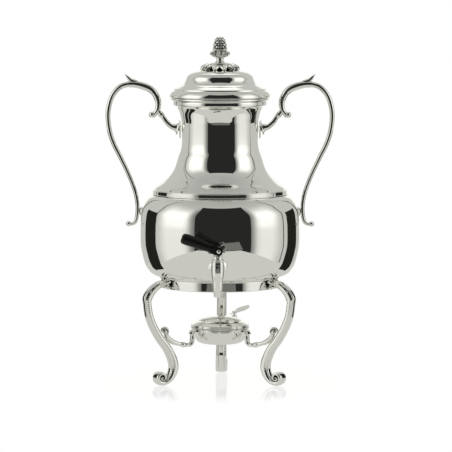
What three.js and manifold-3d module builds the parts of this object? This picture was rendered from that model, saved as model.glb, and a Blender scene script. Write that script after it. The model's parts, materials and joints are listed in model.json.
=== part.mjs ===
// A silver-plated coffee urn with a front tap, two scroll handles and a lift-off lid, standing on a
// three-legged stand that holds a spirit burner. Millimetres, +Z up, the tap faces -Y.
// The floor is z = 0, and the origin is the middle of the object's footprint box.
import * as THREE from "three";
import { mergeVertices } from "three/addons/utils/BufferGeometryUtils.js";
import Module from "manifold-3d";

const wasm = await Module();
wasm.setup();

// ---------- driving dimensions ----------
const GAP = 0.3; // the soldered or resting joint between two pieces
const URN_Y = 11; // the urn's axis, behind the middle of the footprint
const WALL = 1.3; // sheet of the bowl, neck and lid
const TURN_STEPS = 28; // facets round a large turned piece
const SMALL_STEPS = 14; // facets round a small turned piece

// stand
const RING_RADIUS = 77.7; // outside of the ring that carries the urn
const RING_WALL = 2;
const RING_HEIGHT = 12.8;
const RING_TOP = 140;
const LEG_COUNT = 3;
const LEG_THICK = 9.5; // across the leg in its own plane
const LEG_WIDE = 14; // along the ring
const FOOT_ROLL_RADIUS = 8.2;
const FOOT_FLAT = 0.8; // depth ground off under each foot
const ARM_THICK = 6.4;
const ARM_WIDE = 8.5;
const LEAF_THICK = 5.6; // leaf pad between ring and leg
const LEAF_WIDE = 19;

// burner
const HOLDER_RADIUS = 38.7; // outside of the small ring that carries the burner
const HOLDER_WALL = 1.8;
const HOLDER_HEIGHT = 3.8;
const HOLDER_TOP = 71.6;
const BURNER_OVERHANG = 0.7; // burner outside the ring that carries it
const BURNER_WALL = 1;
const BURNER_DEPTH = 21;
const COVER_HEIGHT = 8.4;
const WICK_RADIUS = 7.6;
const WICK_HOLE_RADIUS = 12.5;
const SNUFFER_INSET = 10.4; // snuffer inside the edge of the cover
const SNUFFER_RISE = 6;
const SNUFFER_PIVOT_INSET = 4; // pivot inside the edge of the cover
const SNUFFER_PIVOT_ANGLE = 58; // degrees from +X
const PIVOT_PIN_RADIUS = 1.6;
const TAIL_LENGTH = 36; // thumb leaf outside the pivot
const TAIL_ROOT = 5.8; // thumb leaf in over the snuffer's edge
const TAIL_WIDE = 17;
const TAIL_THICK = 1.6;

// urn
const BELLY_RADIUS = 106.5;
const BELLY_HEIGHT = 110.3; // from the stand's ring up to the shoulder
const SHOULDER_RADIUS = 90;
const BAND_HEIGHT = 6.4;
const NECK_RADIUS = 50.9;
const NECK_HEIGHT = 118.1; // from the shoulder band up to the mouth
const MOUTH_RADIUS = 62.6;
const MOUTH_BEAD = 3.6; // height of the wire round the mouth
const FOOT_RIM_HEIGHT = 10;
const FOOT_RIM_WALL = 2.2;
const FOOT_RIM_PLAY = 1.2; // foot rim inside the stand's ring

// lid and finial
const LID_OVERHANG = 4.4; // lid outside the neck
const LID_CROWN_RADIUS = 46; // the raised crown
const LID_HEIGHT = 42;
const COLLAR_PLAY = 1.3; // lid collar inside the mouth
const COLLAR_DEPTH = 8;
const ROSETTE_RADIUS = 27;
const ROSETTE_LEAVES = 12;
const CALYX_RADIUS = 14;
const CALYX_HEIGHT = 17.6;
const ACORN_RADIUS = 10.2;
const ACORN_HEIGHT = 18.6;
const STUD_RADIUS = 2;

// handles
const HANDLE_THICK = 7;
const HANDLE_WIDE = 8.4;
const HANDLE_REACH = 82; // middle of the grip outside the lid
const NECK_PAD_HIGH = 24;
const BELLY_PAD_RADIUS = 7;

// tap
const TAP_REACH = 23.5; // tap axis in front of the belly
const TAP_RISE = 23.5; // middle of the shank above the stand's ring
const TAP_RADIUS = 8.7;
const TAP_HEIGHT = 45.3; // from the spout's tip to the top of the body
const TAP_CHAMBER = 14.9; // depth from the top of the body down to the seat
const SPOUT_RADIUS = 4.9;
const SHANK_RADIUS = 6;
const SHANK_BORE = 4;
const CHAMBER_RADIUS = 6.3;
const THROAT_RADIUS = 3.4;
const STEM_RADIUS = 2.2;
const STEM_PLAY = 0.3;
const LIFT = 2.6; // how far the stem rises off its seat
const COIL_CLOSED = 3.9; // the spring's length when the tap is wide open
const PIN_X = 1.4;
const PIN_RISE = 4; // pin above the yoke's underside
const PIN_RADIUS = 1.5;
const YOKE_WIDE = 22;
const YOKE_HIGH = 13.2;
const YOKE_THICK = 5;
const LEVER_LENGTH = 58;
const LEVER_TILT = 19.5; // degrees above level, shut
const LEVER_PIN_END = 5;
const LEVER_FAR_END = 7.5;
const ESCUTCHEON_RADIUS = 13.5;

// ---------- finishes ----------
const finish = (color, roughness, metalness) => new THREE.MeshStandardMaterial({ color, roughness, metalness });
const silver = finish(0xd8d8d2, 0.08, 1);
const castSilver = finish(0xcfcfc8, 0.2, 1);
const brass = finish(0xc8a860, 0.3, 1);
const steel = finish(0xa8a8a8, 0.35, 1);
const bakelite = finish(0x14130f, 0.3, 0);
const rubber = finish(0x222222, 0.8, 0);
const cotton = finish(0xe6dfce, 0.95, 0);

// ---------- small tools ----------
const radians = THREE.MathUtils.degToRad;
const points = (list) => list.map(([x, y]) => new THREE.Vector2(x, y));
const smooth = (list, steps) => new THREE.SplineCurve(points(list)).getPoints(steps);

// A line moved sideways by a distance, to its right for a positive one.
function beside(line, distance) {
  return line.map((point, i) => {
    const before = line[Math.max(i - 1, 0)];
    const after = line[Math.min(i + 1, line.length - 1)];
    const along = after.clone().sub(before).normalize();
    return new THREE.Vector2(point.x + along.y * distance, point.y - along.x * distance);
  });
}

// The last point where a line passes a value of its radius ("x") or its height ("y").
function crossing(line, key, value) {
  const i = line.findLastIndex((p, at) => at > 0 && (p[key] - value) * (line[at - 1][key] - value) <= 0);
  const [a, b] = [line[i - 1], line[i]];
  return a.clone().lerp(b, (value - a[key]) / (b[key] - a[key]));
}

// A solid turned about Z from its outline of (radius, height) points, run either way round.
function turned(outline, steps = TURN_STEPS) {
  const closed = [...outline];
  const onAxis = outline[0].x < 1e-6 && outline.at(-1).x < 1e-6;
  if (!onAxis) closed.push(outline[0].clone());
  if (THREE.ShapeUtils.area(outline) < 0) closed.reverse();
  return solid(new THREE.LatheGeometry(closed, steps).rotateX(Math.PI / 2));
}

function solid(geometry) {
  const bare = geometry.clone();
  bare.deleteAttribute("normal");
  bare.deleteAttribute("uv");
  const merged = mergeVertices(bare, 1e-4);
  return new wasm.Manifold(
    new wasm.Mesh({
      numProp: 3,
      vertProperties: merged.attributes.position.array,
      triVerts: new Uint32Array(merged.index.array),
    }),
  );
}

function skin(body) {
  const { vertProperties, triVerts } = body.getMesh();
  const geometry = new THREE.BufferGeometry();
  geometry.setAttribute("position", new THREE.BufferAttribute(vertProperties, 3));
  geometry.setIndex(new THREE.BufferAttribute(triVerts, 1));
  geometry.computeVertexNormals();
  return geometry;
}

const root = new THREE.Group();

function piece(name, body, material, group = root) {
  const mesh = new THREE.Mesh(skin(body), material);
  mesh.name = name;
  group.add(mesh);
  return mesh;
}

// A rod along Z between two heights, and the same lying along Y between two places.
const rod = (radius, low, high, steps = SMALL_STEPS) =>
  solid(new THREE.CylinderGeometry(radius, radius, high - low, steps).rotateX(Math.PI / 2)).translate([
    0, 0, (low + high) / 2,
  ]);
const rodAlongY = (radius, near, far, steps = SMALL_STEPS) =>
  solid(new THREE.CylinderGeometry(radius, radius, far - near, steps)).translate([0, (near + far) / 2, 0]);
const ball = (radius, x, y, z) => solid(new THREE.SphereGeometry(radius, 12, 8)).translate([x, y, z]);
const block = (wide, deep, high, x, y, z) => solid(new THREE.BoxGeometry(wide, deep, high)).translate([x, y, z]);

// A round-cornered section swept along a curve in the plane y = 0, across the plane and in it.
function swept(curve, across, inPlane, steps) {
  const section = new THREE.Shape();
  section.absellipse(0, 0, across / 2, inPlane / 2, 0, Math.PI * 2);
  const settings = { steps, curveSegments: 4, bevelEnabled: false, extrudePath: curve };
  return solid(new THREE.ExtrudeGeometry(section, settings));
}

const planeCurve = (list) =>
  new THREE.CatmullRomCurve3(
    list.map(([x, z]) => new THREE.Vector3(x, 0, z)),
    false,
    "centripetal",
  );

// A flat outline of (x, z) points given a thickness centred on y = 0.
function plate(outline, thick) {
  const settings = { depth: thick, bevelEnabled: false, curveSegments: 5 };
  return solid(new THREE.ExtrudeGeometry(outline, settings).translate(0, 0, -thick / 2).rotateX(Math.PI / 2));
}

// ---------- stand ----------
const stand = new THREE.Group();
stand.position.y = URN_Y;
root.add(stand);

const ringBottom = RING_TOP - RING_HEIGHT;
const ringInside = RING_RADIUS - RING_WALL;

function standRing() {
  const edge = RING_WALL / 4;
  const outline = points([
    [ringInside, ringBottom],
    [RING_RADIUS - edge, ringBottom],
    [RING_RADIUS, ringBottom + edge],
    [RING_RADIUS, RING_TOP - edge],
    [RING_RADIUS - edge, RING_TOP],
    [ringInside, RING_TOP],
  ]);
  piece("stand_ring", turned(outline), silver, stand);
}

// Middle line of a leg, as distance out from the urn's axis and height, from the ring to the foot.
const legStart = RING_RADIUS + GAP + LEAF_THICK + GAP;
const legRise = RING_TOP - 5;
const footZ = LEG_THICK / 2 - FOOT_FLAT;
const legLine = planeCurve([
  [legStart, legRise - 0.5],
  [legStart + 7.5, legRise - 0.5],
  [legStart + 18, legRise - 7.5],
  [legStart + 25.6, legRise - 18.5],
  [legStart + 25, legRise - 28],
  [legStart + 22.6, legRise - 42.5],
  [legStart + 16, legRise - 58],
  [90, 61],
  [80.5, 52],
  [75, 42],
  [70.8, 31],
  [69.8, 22],
  [73, 13],
  [78.6, 6.2],
  [84.5, footZ],
  [91, footZ + 0.6],
]);
const legSolid = (margin) => {
  const shaft = swept(legLine, LEG_WIDE + 2 * margin, LEG_THICK + 2 * margin, 21);
  const roll = rodAlongY(FOOT_ROLL_RADIUS, -LEG_WIDE / 2 - 1.2, LEG_WIDE / 2 + 1.2, 16);
  return shaft.add(roll.translate([90, 0, FOOT_ROLL_RADIUS + 3]));
};

// Middle line of the arm that reaches from a leg in to the burner's holder ring.
const clawOut = HOLDER_RADIUS + 3.4;
const armLine = planeCurve([
  [85, 70.5],
  [81.5, 64.5],
  [72, 56.6],
  [60, 52.6],
  [50, 50.8],
  [43.5, 52],
  [clawOut - 0.6, 56.4],
  [clawOut - 0.6, HOLDER_TOP - HOLDER_HEIGHT - 5],
]);

function leafPad() {
  const inner = RING_RADIUS + GAP;
  const outer = inner + LEAF_THICK;
  const outline = new THREE.Shape();
  outline.moveTo(inner, ringBottom + 0.4);
  outline.lineTo(inner + LEAF_THICK * 0.55, ringBottom + 0.4);
  outline.quadraticCurveTo(outer, ringBottom + 1.5, outer, ringBottom + RING_HEIGHT * 0.4);
  outline.lineTo(outer, RING_TOP - 1.6);
  outline.quadraticCurveTo(outer, RING_TOP + 0.4, inner + LEAF_THICK * 0.4, RING_TOP + 0.2);
  outline.lineTo(inner, RING_TOP - 0.3);
  return plate(outline, LEAF_WIDE);
}

function claw() {
  const inner = HOLDER_RADIUS + GAP;
  const low = HOLDER_TOP - HOLDER_HEIGHT - 4.6;
  const outline = new THREE.Shape();
  outline.moveTo(inner, low);
  outline.quadraticCurveTo(inner + 6.4, low + 1, inner + 6.2, low + 5);
  outline.quadraticCurveTo(inner + 6, HOLDER_TOP - 0.6, inner, HOLDER_TOP - 0.4);
  return plate(outline, 13);
}

function legs() {
  const floor = block(300, 300, 40, 0, 0, -20);
  const leg = legSolid(0).subtract(floor);
  const knob = rodAlongY(4.4, -ARM_WIDE / 2, ARM_WIDE / 2, 12).translate([84.6, 0, 71]);
  const whole = swept(armLine, ARM_WIDE, ARM_THICK, 14).add(knob).subtract(legSolid(GAP));
  const arm = whole.decompose().sort((a, b) => b.volume() - a.volume())[0];
  for (let i = 0; i < LEG_COUNT; i++) {
    const side = ["back", "left", "right"][i];
    const turn = new THREE.Group();
    turn.rotation.z = radians(90 + (i * 360) / LEG_COUNT);
    stand.add(turn);
    piece("leg_" + side, leg, castSilver, turn);
    piece("ring_leaf_" + side, leafPad(), castSilver, turn);
    piece("arm_" + side, arm, castSilver, turn);
    piece("claw_" + side, claw(), castSilver, turn);
  }
}

function holderRing() {
  const inside = HOLDER_RADIUS - HOLDER_WALL;
  const outline = points([
    [inside, HOLDER_TOP - HOLDER_HEIGHT],
    [HOLDER_RADIUS, HOLDER_TOP - HOLDER_HEIGHT],
    [HOLDER_RADIUS, HOLDER_TOP],
    [inside, HOLDER_TOP],
  ]);
  piece("burner_ring", turned(outline), silver, stand);
}

// ---------- burner ----------
const flangeLow = HOLDER_TOP + GAP;
const flangeTop = flangeLow + BURNER_WALL;
const burnerSide = HOLDER_RADIUS - HOLDER_WALL - 0.5; // the bowl where it drops through the ring
const burnerRadius = HOLDER_RADIUS + BURNER_OVERHANG; // outside of the burner's cover
const pivotRadius = burnerRadius - SNUFFER_PIVOT_INSET;
const snufferRadius = burnerRadius - SNUFFER_INSET;
const burnerBottom = flangeLow - BURNER_DEPTH;
const coverLow = flangeTop + GAP;
const coverTop = coverLow + COVER_HEIGHT;

function burnerBowl() {
  const outer = smooth(
    [
      [0, burnerBottom],
      [burnerSide * 0.6, burnerBottom + 0.2],
      [burnerSide * 0.84, burnerBottom + 3.4],
      [burnerSide * 0.96, burnerBottom + BURNER_DEPTH * 0.55],
      [burnerSide, flangeLow],
    ],
    5,
  );
  const inner = beside(outer, -BURNER_WALL).reverse();
  inner.at(-1).x = 0;
  inner[0].y = flangeTop;
  const flange = points([
    [burnerRadius - 0.2, flangeLow],
    [burnerRadius - 0.2, flangeTop],
  ]);
  piece("burner_bowl", turned([...outer, ...flange, ...inner]), silver, stand);
}

const coverOuter = smooth(
  [
    [burnerRadius, coverLow + 3],
    [burnerRadius - 2.4, coverLow + 4.4],
    [snufferRadius + 1, coverTop - 1.2],
    [snufferRadius * 0.8, coverTop - 0.1],
    [WICK_HOLE_RADIUS, coverTop],
  ],
  4,
);

function burnerCover() {
  const inner = beside(coverOuter, -BURNER_WALL).reverse();
  const low = points([
    [burnerRadius - BURNER_WALL, coverLow],
    [burnerRadius, coverLow],
  ]);
  inner.at(-1).x = burnerRadius - BURNER_WALL;
  inner[0].x = WICK_HOLE_RADIUS;
  piece("burner_cover", turned([...low, ...coverOuter, ...inner]), silver, stand);
}

function wick() {
  const tubeIn = WICK_RADIUS + 0.4;
  const flange = coverTop - BURNER_WALL - GAP;
  const outline = points([
    [tubeIn, burnerBottom + 4],
    [tubeIn + 1, burnerBottom + 4],
    [tubeIn + 1, flange - 1],
    [WICK_HOLE_RADIUS + 1.5, flange - 1],
    [WICK_HOLE_RADIUS + 1.5, flange],
    [tubeIn, flange],
  ]);
  piece("wick_tube", turned(outline, SMALL_STEPS), brass, stand);
  piece("wick", rod(WICK_RADIUS, burnerBottom + BURNER_WALL + 1.2, coverTop - 0.4), cotton, stand);
}

// The snuffer's domed disc and thumb leaf turn on an upright pivot at the burner's edge.
const snufferLow = coverTop + 0.5;

function snuffer() {
  const crown = snufferLow + SNUFFER_RISE;
  const outer = smooth(
    [
      [snufferRadius, snufferLow + 0.6],
      [snufferRadius * 0.78, snufferLow + SNUFFER_RISE * 0.52],
      [snufferRadius * 0.42, snufferLow + SNUFFER_RISE * 0.88],
      [0, crown],
    ],
    4,
  );
  const inner = beside(outer, -0.8).reverse();
  inner[0].x = 0;
  const low = points([
    [snufferRadius - 0.8, snufferLow],
    [snufferRadius, snufferLow],
  ]);
  piece("snuffer_lid", turned([...outer.reverse(), ...low.reverse(), ...inner.reverse()]), silver, stand);

  const arm = new THREE.Group();
  arm.rotation.z = radians(SNUFFER_PIVOT_ANGLE);
  stand.add(arm);
  const bossLow = crown - 1.2;
  const half = TAIL_WIDE / 2;
  const leaf = new THREE.Shape();
  const start = snufferRadius - TAIL_ROOT - pivotRadius;
  leaf.moveTo(start, -3.6);
  leaf.lineTo(4, -3.6);
  leaf.bezierCurveTo(8, -3.6, 11, -half, 18, -half);
  leaf.quadraticCurveTo(28, -half, TAIL_LENGTH, 0);
  leaf.quadraticCurveTo(28, half, 18, half);
  leaf.bezierCurveTo(11, half, 8, 3.6, 4, 3.6);
  leaf.lineTo(start, 3.6);
  const settings = { depth: TAIL_THICK, bevelEnabled: false, curveSegments: 5 };
  const tail = solid(new THREE.ExtrudeGeometry(leaf, settings))
    .subtract(rod(PIVOT_PIN_RADIUS + 0.3, -2, TAIL_THICK + 2))
    .rotate([0, -6, 0])
    .translate([pivotRadius, 0, bossLow]);
  piece("snuffer_handle", tail, silver, arm);

  const grown = beside(coverOuter, GAP);
  const below = points([
    [0, coverLow],
    [burnerRadius + GAP, coverLow],
  ]);
  const coverGrown = turned([...below, ...grown, new THREE.Vector2(0, grown.at(-1).y)]);
  const post = turned(
    points([
      [0, coverLow + 2],
      [3.4, coverLow + 2],
      [3.4, bossLow - 0.9],
      [PIVOT_PIN_RADIUS, bossLow - 0.9],
      [PIVOT_PIN_RADIUS, bossLow + TAIL_THICK + 0.9],
      [3.4, bossLow + TAIL_THICK + 0.9],
      [2.4, bossLow + TAIL_THICK + 2],
      [0, bossLow + TAIL_THICK + 2.2],
    ]),
    12,
  );
  piece("snuffer_pivot", post.translate([pivotRadius, 0, 0]).subtract(coverGrown), silver, arm);
}

// ---------- urn ----------
const urn = new THREE.Group();
urn.position.y = URN_Y;
root.add(urn);

const shoulderZ = RING_TOP + BELLY_HEIGHT;
const bellyOuter = smooth(
  [
    [0, RING_TOP - 5.4],
    [40, RING_TOP - 5.2],
    [60, RING_TOP - 4],
    [70, RING_TOP - 1.6],
    [RING_RADIUS - 1.7, RING_TOP + 0.8],
    [84.5, RING_TOP + 2.7],
    [BELLY_RADIUS - 15.5, RING_TOP + 5.2],
    [BELLY_RADIUS - 10.5, RING_TOP + 9.6],
    [BELLY_RADIUS - 6, RING_TOP + 17.5],
    [BELLY_RADIUS - 2, RING_TOP + 32],
    [BELLY_RADIUS, RING_TOP + BELLY_HEIGHT * 0.42],
    [BELLY_RADIUS, RING_TOP + BELLY_HEIGHT * 0.64],
    [BELLY_RADIUS - 0.8, shoulderZ - 30],
    [BELLY_RADIUS - 2.6, shoulderZ - 19.3],
    [BELLY_RADIUS - 6.4, shoulderZ - 11],
    [SHOULDER_RADIUS + 5, shoulderZ - 4],
    [SHOULDER_RADIUS, shoulderZ],
  ],
  16,
);
const bellyInner = beside(bellyOuter, -WALL);
bellyInner[0].x = 0;
bellyInner.at(-1).set(SHOULDER_RADIUS - 4.6, shoulderZ);

// The belly's outside grown by a gap, and the space inside it, each as a plain solid.
function bellyGrown(gap) {
  const line = beside(bellyOuter, gap);
  line[0].x = 0;
  return turned([...line, new THREE.Vector2(0, line.at(-1).y)], TURN_STEPS);
}
function bellySpace(gap) {
  const line = beside(bellyInner, -gap);
  line[0].x = 0;
  return turned([...line, new THREE.Vector2(0, line.at(-1).y)], TURN_STEPS);
}

const tapOut = BELLY_RADIUS + TAP_REACH;
const tapZ = RING_TOP + TAP_RISE;
const alongShank = (body) => body.translate([0, 0, tapZ]);

function bowl() {
  const shell = turned([...bellyOuter, ...[...bellyInner].reverse()]);
  const hole = alongShank(rodAlongY(SHANK_RADIUS + GAP, -tapOut, -60));
  piece("bowl", shell.subtract(hole), silver, urn);

  const outside = ringInside - FOOT_RIM_PLAY;
  const top = RING_TOP - 2.2;
  const outline = points([
    [outside - FOOT_RIM_WALL, top - FOOT_RIM_HEIGHT],
    [outside, top - FOOT_RIM_HEIGHT],
    [outside, top],
    [outside - FOOT_RIM_WALL, top],
  ]);
  piece("foot_rim", turned(outline), silver, urn);
}

const bandLow = shoulderZ + GAP;
const bandTop = bandLow + BAND_HEIGHT;
const neckLow = bandTop + GAP;
const mouthZ = neckLow + NECK_HEIGHT;
const neckOuter = smooth(
  [
    [SHOULDER_RADIUS - 2, neckLow],
    [SHOULDER_RADIUS - 6.2, neckLow + 4.6],
    [SHOULDER_RADIUS - 16.3, neckLow + 12.6],
    [NECK_RADIUS + 14.4, neckLow + 21],
    [NECK_RADIUS + 9.4, neckLow + 29],
    [NECK_RADIUS + 4.3, neckLow + NECK_HEIGHT * 0.38],
    [NECK_RADIUS + 1.4, neckLow + NECK_HEIGHT * 0.45],
    [NECK_RADIUS, neckLow + NECK_HEIGHT * 0.53],
    [NECK_RADIUS, mouthZ - 30.4],
    [NECK_RADIUS + 1.2, mouthZ - 23.4],
    [NECK_RADIUS + 3.4, mouthZ - 15.5],
    [MOUTH_RADIUS - 3.2, mouthZ - 7.4],
    [MOUTH_RADIUS, mouthZ],
  ],
  11,
);
const neckInner = beside(neckOuter, -WALL);

function neck() {
  const edge = 1;
  const band = points([
    [SHOULDER_RADIUS - 4, bandLow],
    [SHOULDER_RADIUS - 0.4, bandLow],
    [SHOULDER_RADIUS, bandLow + 0.4],
    [SHOULDER_RADIUS, bandTop - edge],
    [SHOULDER_RADIUS - edge, bandTop],
    [SHOULDER_RADIUS - 4, bandTop],
  ]);
  piece("shoulder_band", turned(band), silver, urn);

  const inner = neckInner.map((p) => new THREE.Vector2(p.x, Math.max(p.y, neckLow)));
  inner.at(-1).y = mouthZ;
  piece("neck", turned([...neckOuter, ...inner.reverse()]), silver, urn);

  const beadLow = mouthZ + GAP;
  const beadTop = beadLow + MOUTH_BEAD;
  const beadOut = MOUTH_RADIUS + 3;
  const bead = points([
    [MOUTH_RADIUS - WALL, beadLow],
    [beadOut - 1, beadLow],
    [beadOut, beadLow + 1],
    [beadOut, beadTop - 1],
    [beadOut - 1, beadTop],
    [MOUTH_RADIUS - WALL, beadTop],
  ]);
  piece("mouth_rim", turned(bead), silver, urn);
}

// ---------- lid ----------
const lid = new THREE.Group();
lid.position.y = URN_Y;
root.add(lid);

const lidRadius = MOUTH_RADIUS + LID_OVERHANG;
const lidLow = mouthZ + GAP + MOUTH_BEAD + GAP;
const lidTop = lidLow + LID_HEIGHT;
const studHole = STUD_RADIUS + 0.4;
const crownOuter = smooth(
  [
    [lidRadius - 0.7, lidLow + 7.6],
    [lidRadius - 5, lidLow + 10.6],
    [LID_CROWN_RADIUS + 10, lidLow + 13.9],
    [LID_CROWN_RADIUS + 3, lidLow + 17.6],
    [LID_CROWN_RADIUS - 0.4, lidLow + 22.4],
    [LID_CROWN_RADIUS - 2.6, lidLow + 28.2],
    [LID_CROWN_RADIUS - 7.4, lidLow + 32.4],
    [ROSETTE_RADIUS, lidTop - 6],
    [14, lidTop - 1.6],
    [studHole, lidTop],
  ],
  9,
);
const rimIn = lidRadius - 5.2;
const crownInner = beside(crownOuter, -WALL).filter((p) => p.x < rimIn - 1);
crownInner.unshift(new THREE.Vector2(rimIn, lidLow + 6));
crownInner.at(-1).x = studHole;

function lidShell() {
  const rim = points([
    [rimIn, lidLow],
    [lidRadius - 1, lidLow],
    [lidRadius, lidLow + 1.4],
    [lidRadius, lidLow + 5.4],
  ]);
  piece("lid", turned([...rim, ...crownOuter, ...[...crownInner].reverse()]), silver, lid);

  const outside = crossing(neckInner, "y", lidLow - COLLAR_DEPTH).x - COLLAR_PLAY;
  const top = crossing(crownInner, "x", outside).y - 2 * GAP;
  const collar = points([
    [outside - WALL, lidLow - COLLAR_DEPTH],
    [outside, lidLow - COLLAR_DEPTH],
    [outside, top],
    [outside - WALL, top],
  ]);
  piece("lid_collar", turned(collar), silver, lid);
}

function rosette() {
  const near = crownOuter.filter((p) => p.x < ROSETTE_RADIUS);
  const under = beside(near, GAP);
  const over = beside(near, GAP + 1.7);
  under.at(-1).x = studHole;
  over.at(-1).x = studHole;
  let body = turned([...under.reverse(), ...over]);
  for (let i = 0; i < ROSETTE_LEAVES; i++) {
    const notch = rod(2.2, lidTop - 12, lidTop + 8, 8).translate([ROSETTE_RADIUS - 0.5, 0, 0]);
    body = body.subtract(notch.rotate([0, 0, (i * 360) / ROSETTE_LEAVES]));
  }
  piece("lid_rosette", body, castSilver, lid);
}

function finial() {
  const base = lidTop + GAP + 1.7 + GAP;
  const cupTop = base + CALYX_HEIGHT;
  const wall = smooth(
    [
      [CALYX_RADIUS * 0.72, base],
      [CALYX_RADIUS * 0.42, base + 2.4],
      [CALYX_RADIUS * 0.385, base + 5],
      [CALYX_RADIUS * 0.5, base + 8.4],
      [CALYX_RADIUS * 0.94, base + 11.4],
      [CALYX_RADIUS, base + 14.4],
      [CALYX_RADIUS * 0.72, cupTop],
    ],
    9,
  );
  const studTop = base + 12;
  const hole = points([
    [0, studTop + 0.4],
    [studHole, studTop + 0.4],
    [studHole, base],
  ]);
  const top = new THREE.Vector2(0, cupTop);
  piece("finial_calyx", turned([...hole, ...wall, top], SMALL_STEPS), castSilver, lid);

  const acornLow = cupTop + GAP;
  const nut = smooth(
    [
      [0, acornLow],
      [ACORN_RADIUS * 0.93, acornLow],
      [ACORN_RADIUS, acornLow + 2],
      [ACORN_RADIUS * 0.86, acornLow + ACORN_HEIGHT * 0.38],
      [ACORN_RADIUS * 0.74, acornLow + ACORN_HEIGHT * 0.62],
      [ACORN_RADIUS * 0.52, acornLow + ACORN_HEIGHT * 0.86],
      [0, acornLow + ACORN_HEIGHT],
    ],
    9,
  );
  piece("finial_acorn", turned(nut, SMALL_STEPS), castSilver, lid);

  const under = lidTop - WALL - 0.9;
  const washer = rod(8, under - 1.2, under).subtract(rod(studHole, 0, 500));
  const hex = rod(5, under - 5.5, under - 1.5, 6).subtract(rod(studHole, 0, 500));
  piece("finial_stud", rod(STUD_RADIUS, under - 7.5, studTop, 12), steel, lid);
  piece("finial_washer", washer, steel, lid);
  piece("finial_nut", hex, brass, lid);
}

// ---------- handles ----------
// Middle lines, as distance out from the urn's axis and height.
const neckPadZ = mouthZ - 38.4;
const bellyPadZ = shoulderZ - 23.3;
const gripOut = lidRadius + HANDLE_REACH;
const curlEnd = [gripOut - 58.5, neckPadZ + 19];
const tipEnd = [BELLY_RADIUS + 14.6, bellyPadZ - 17];
const gripLine = planeCurve([
  curlEnd,
  [gripOut - 63.5, neckPadZ + 22],
  [gripOut - 67, neckPadZ + 29],
  [gripOut - 66, neckPadZ + 41],
  [gripOut - 58, neckPadZ + 52],
  [gripOut - 45, neckPadZ + 58.5],
  [gripOut - 31, neckPadZ + 60],
  [gripOut - 17, neckPadZ + 56],
  [gripOut - 6.6, neckPadZ + 45],
  [gripOut - 1.2, neckPadZ + 30],
  [gripOut, neckPadZ + 15],
  [gripOut - 2.6, neckPadZ - 4],
  [gripOut - 8, neckPadZ - 20],
  [gripOut - 16.2, neckPadZ - 36.5],
  [gripOut - 27, bellyPadZ + 50.5],
  [BELLY_RADIUS + 6.6, bellyPadZ + 27],
  [BELLY_RADIUS + 3.4, bellyPadZ + 9],
  [BELLY_RADIUS + 3.9, bellyPadZ - 5],
  [BELLY_RADIUS + 6, bellyPadZ - 12.4],
  [BELLY_RADIUS + 10.4, bellyPadZ - 16.6],
  tipEnd,
]);
// The branch dips from under the curl, in shares of the way, to the leaf on the neck.
const branchTop = [gripOut - 69.6, neckPadZ + 21];
const branchEnd = [NECK_RADIUS + 6, neckPadZ];
const onBranch = (out, down) => [
  THREE.MathUtils.lerp(branchTop[0], branchEnd[0], out),
  THREE.MathUtils.lerp(branchTop[1], branchEnd[1], down),
];
const branchLine = planeCurve([
  [gripOut - 66.4, neckPadZ + 27],
  branchTop,
  onBranch(0.2, 0.25),
  onBranch(0.4, 0.55),
  onBranch(0.7, 0.84),
  branchEnd,
]);

function neckPad() {
  const half = NECK_PAD_HIGH / 2;
  const leaf = new THREE.Shape();
  leaf.moveTo(0, half);
  leaf.quadraticCurveTo(7, half * 0.4, 5.4, -half * 0.1);
  leaf.quadraticCurveTo(3.4, -half * 0.7, 0, -half);
  leaf.quadraticCurveTo(-3.4, -half * 0.7, -5.4, -half * 0.1);
  leaf.quadraticCurveTo(-7, half * 0.4, 0, half);
  const thick = 3;
  const settings = { depth: thick, bevelEnabled: false, curveSegments: 4 };
  const upright = new THREE.ExtrudeGeometry(leaf, settings).rotateX(Math.PI / 2).rotateZ(Math.PI / 2);
  return solid(upright).translate([NECK_RADIUS, 0, neckPadZ]);
}

function handles() {
  const neckGrown = turned([
    new THREE.Vector2(0, neckOuter[0].y),
    ...beside(neckOuter, GAP),
    new THREE.Vector2(0, neckOuter.at(-1).y),
  ]);
  const blade = neckPad().subtract(neckGrown);
  const bladeFace = NECK_RADIUS + 3;
  const disc = solid(new THREE.CylinderGeometry(BELLY_PAD_RADIUS, BELLY_PAD_RADIUS, 6, 16).rotateZ(Math.PI / 2));
  const discFace = BELLY_RADIUS + 0.9;
  const foot = disc.translate([discFace - 3, 0, bellyPadZ]).subtract(bellyGrown(GAP));
  const thorn = solid(new THREE.ConeGeometry(3.2, 17, 8).rotateX(Math.PI / 2))
    .rotate([0, 28, 0])
    .translate([gripOut - 26, 0, neckPadZ + 67.6]);
  const inward = block(80, 40, 60, bladeFace + GAP - 40, 0, neckPadZ);
  const against = block(20, 40, 40, discFace + GAP - 10, 0, bellyPadZ);
  const grip = swept(gripLine, HANDLE_WIDE, HANDLE_THICK, 28)
    .add(swept(branchLine, HANDLE_WIDE * 0.8, HANDLE_THICK * 0.86, 8))
    .add(ball(3.9, tipEnd[0] + 0.8, 0, tipEnd[1] + 0.6))
    .add(ball(4.4, curlEnd[0], 0, curlEnd[1]))
    .add(thorn)
    .subtract(inward)
    .subtract(against);
  for (const side of ["right", "left"]) {
    const turn = new THREE.Group();
    turn.rotation.z = side === "left" ? Math.PI : 0;
    urn.add(turn);
    piece("handle_" + side, grip, castSilver, turn);
    piece("handle_leaf_" + side, blade, castSilver, turn);
    piece("handle_foot_" + side, foot, castSilver, turn);
  }
}

// ---------- tap ----------
const tapTop = tapZ + TAP_RADIUS + 0.1;
const spoutZ = tapTop - TAP_HEIGHT;
const seatZ = tapTop - TAP_CHAMBER;
const bonnetLow = tapTop + GAP;
const bonnetTop = bonnetLow + 8.6;
const thrustLow = bonnetTop + GAP;
const thrustTop = thrustLow + 0.8;
const yokeLow = thrustTop + GAP;
const pinZ = yokeLow + PIN_RISE;

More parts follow.
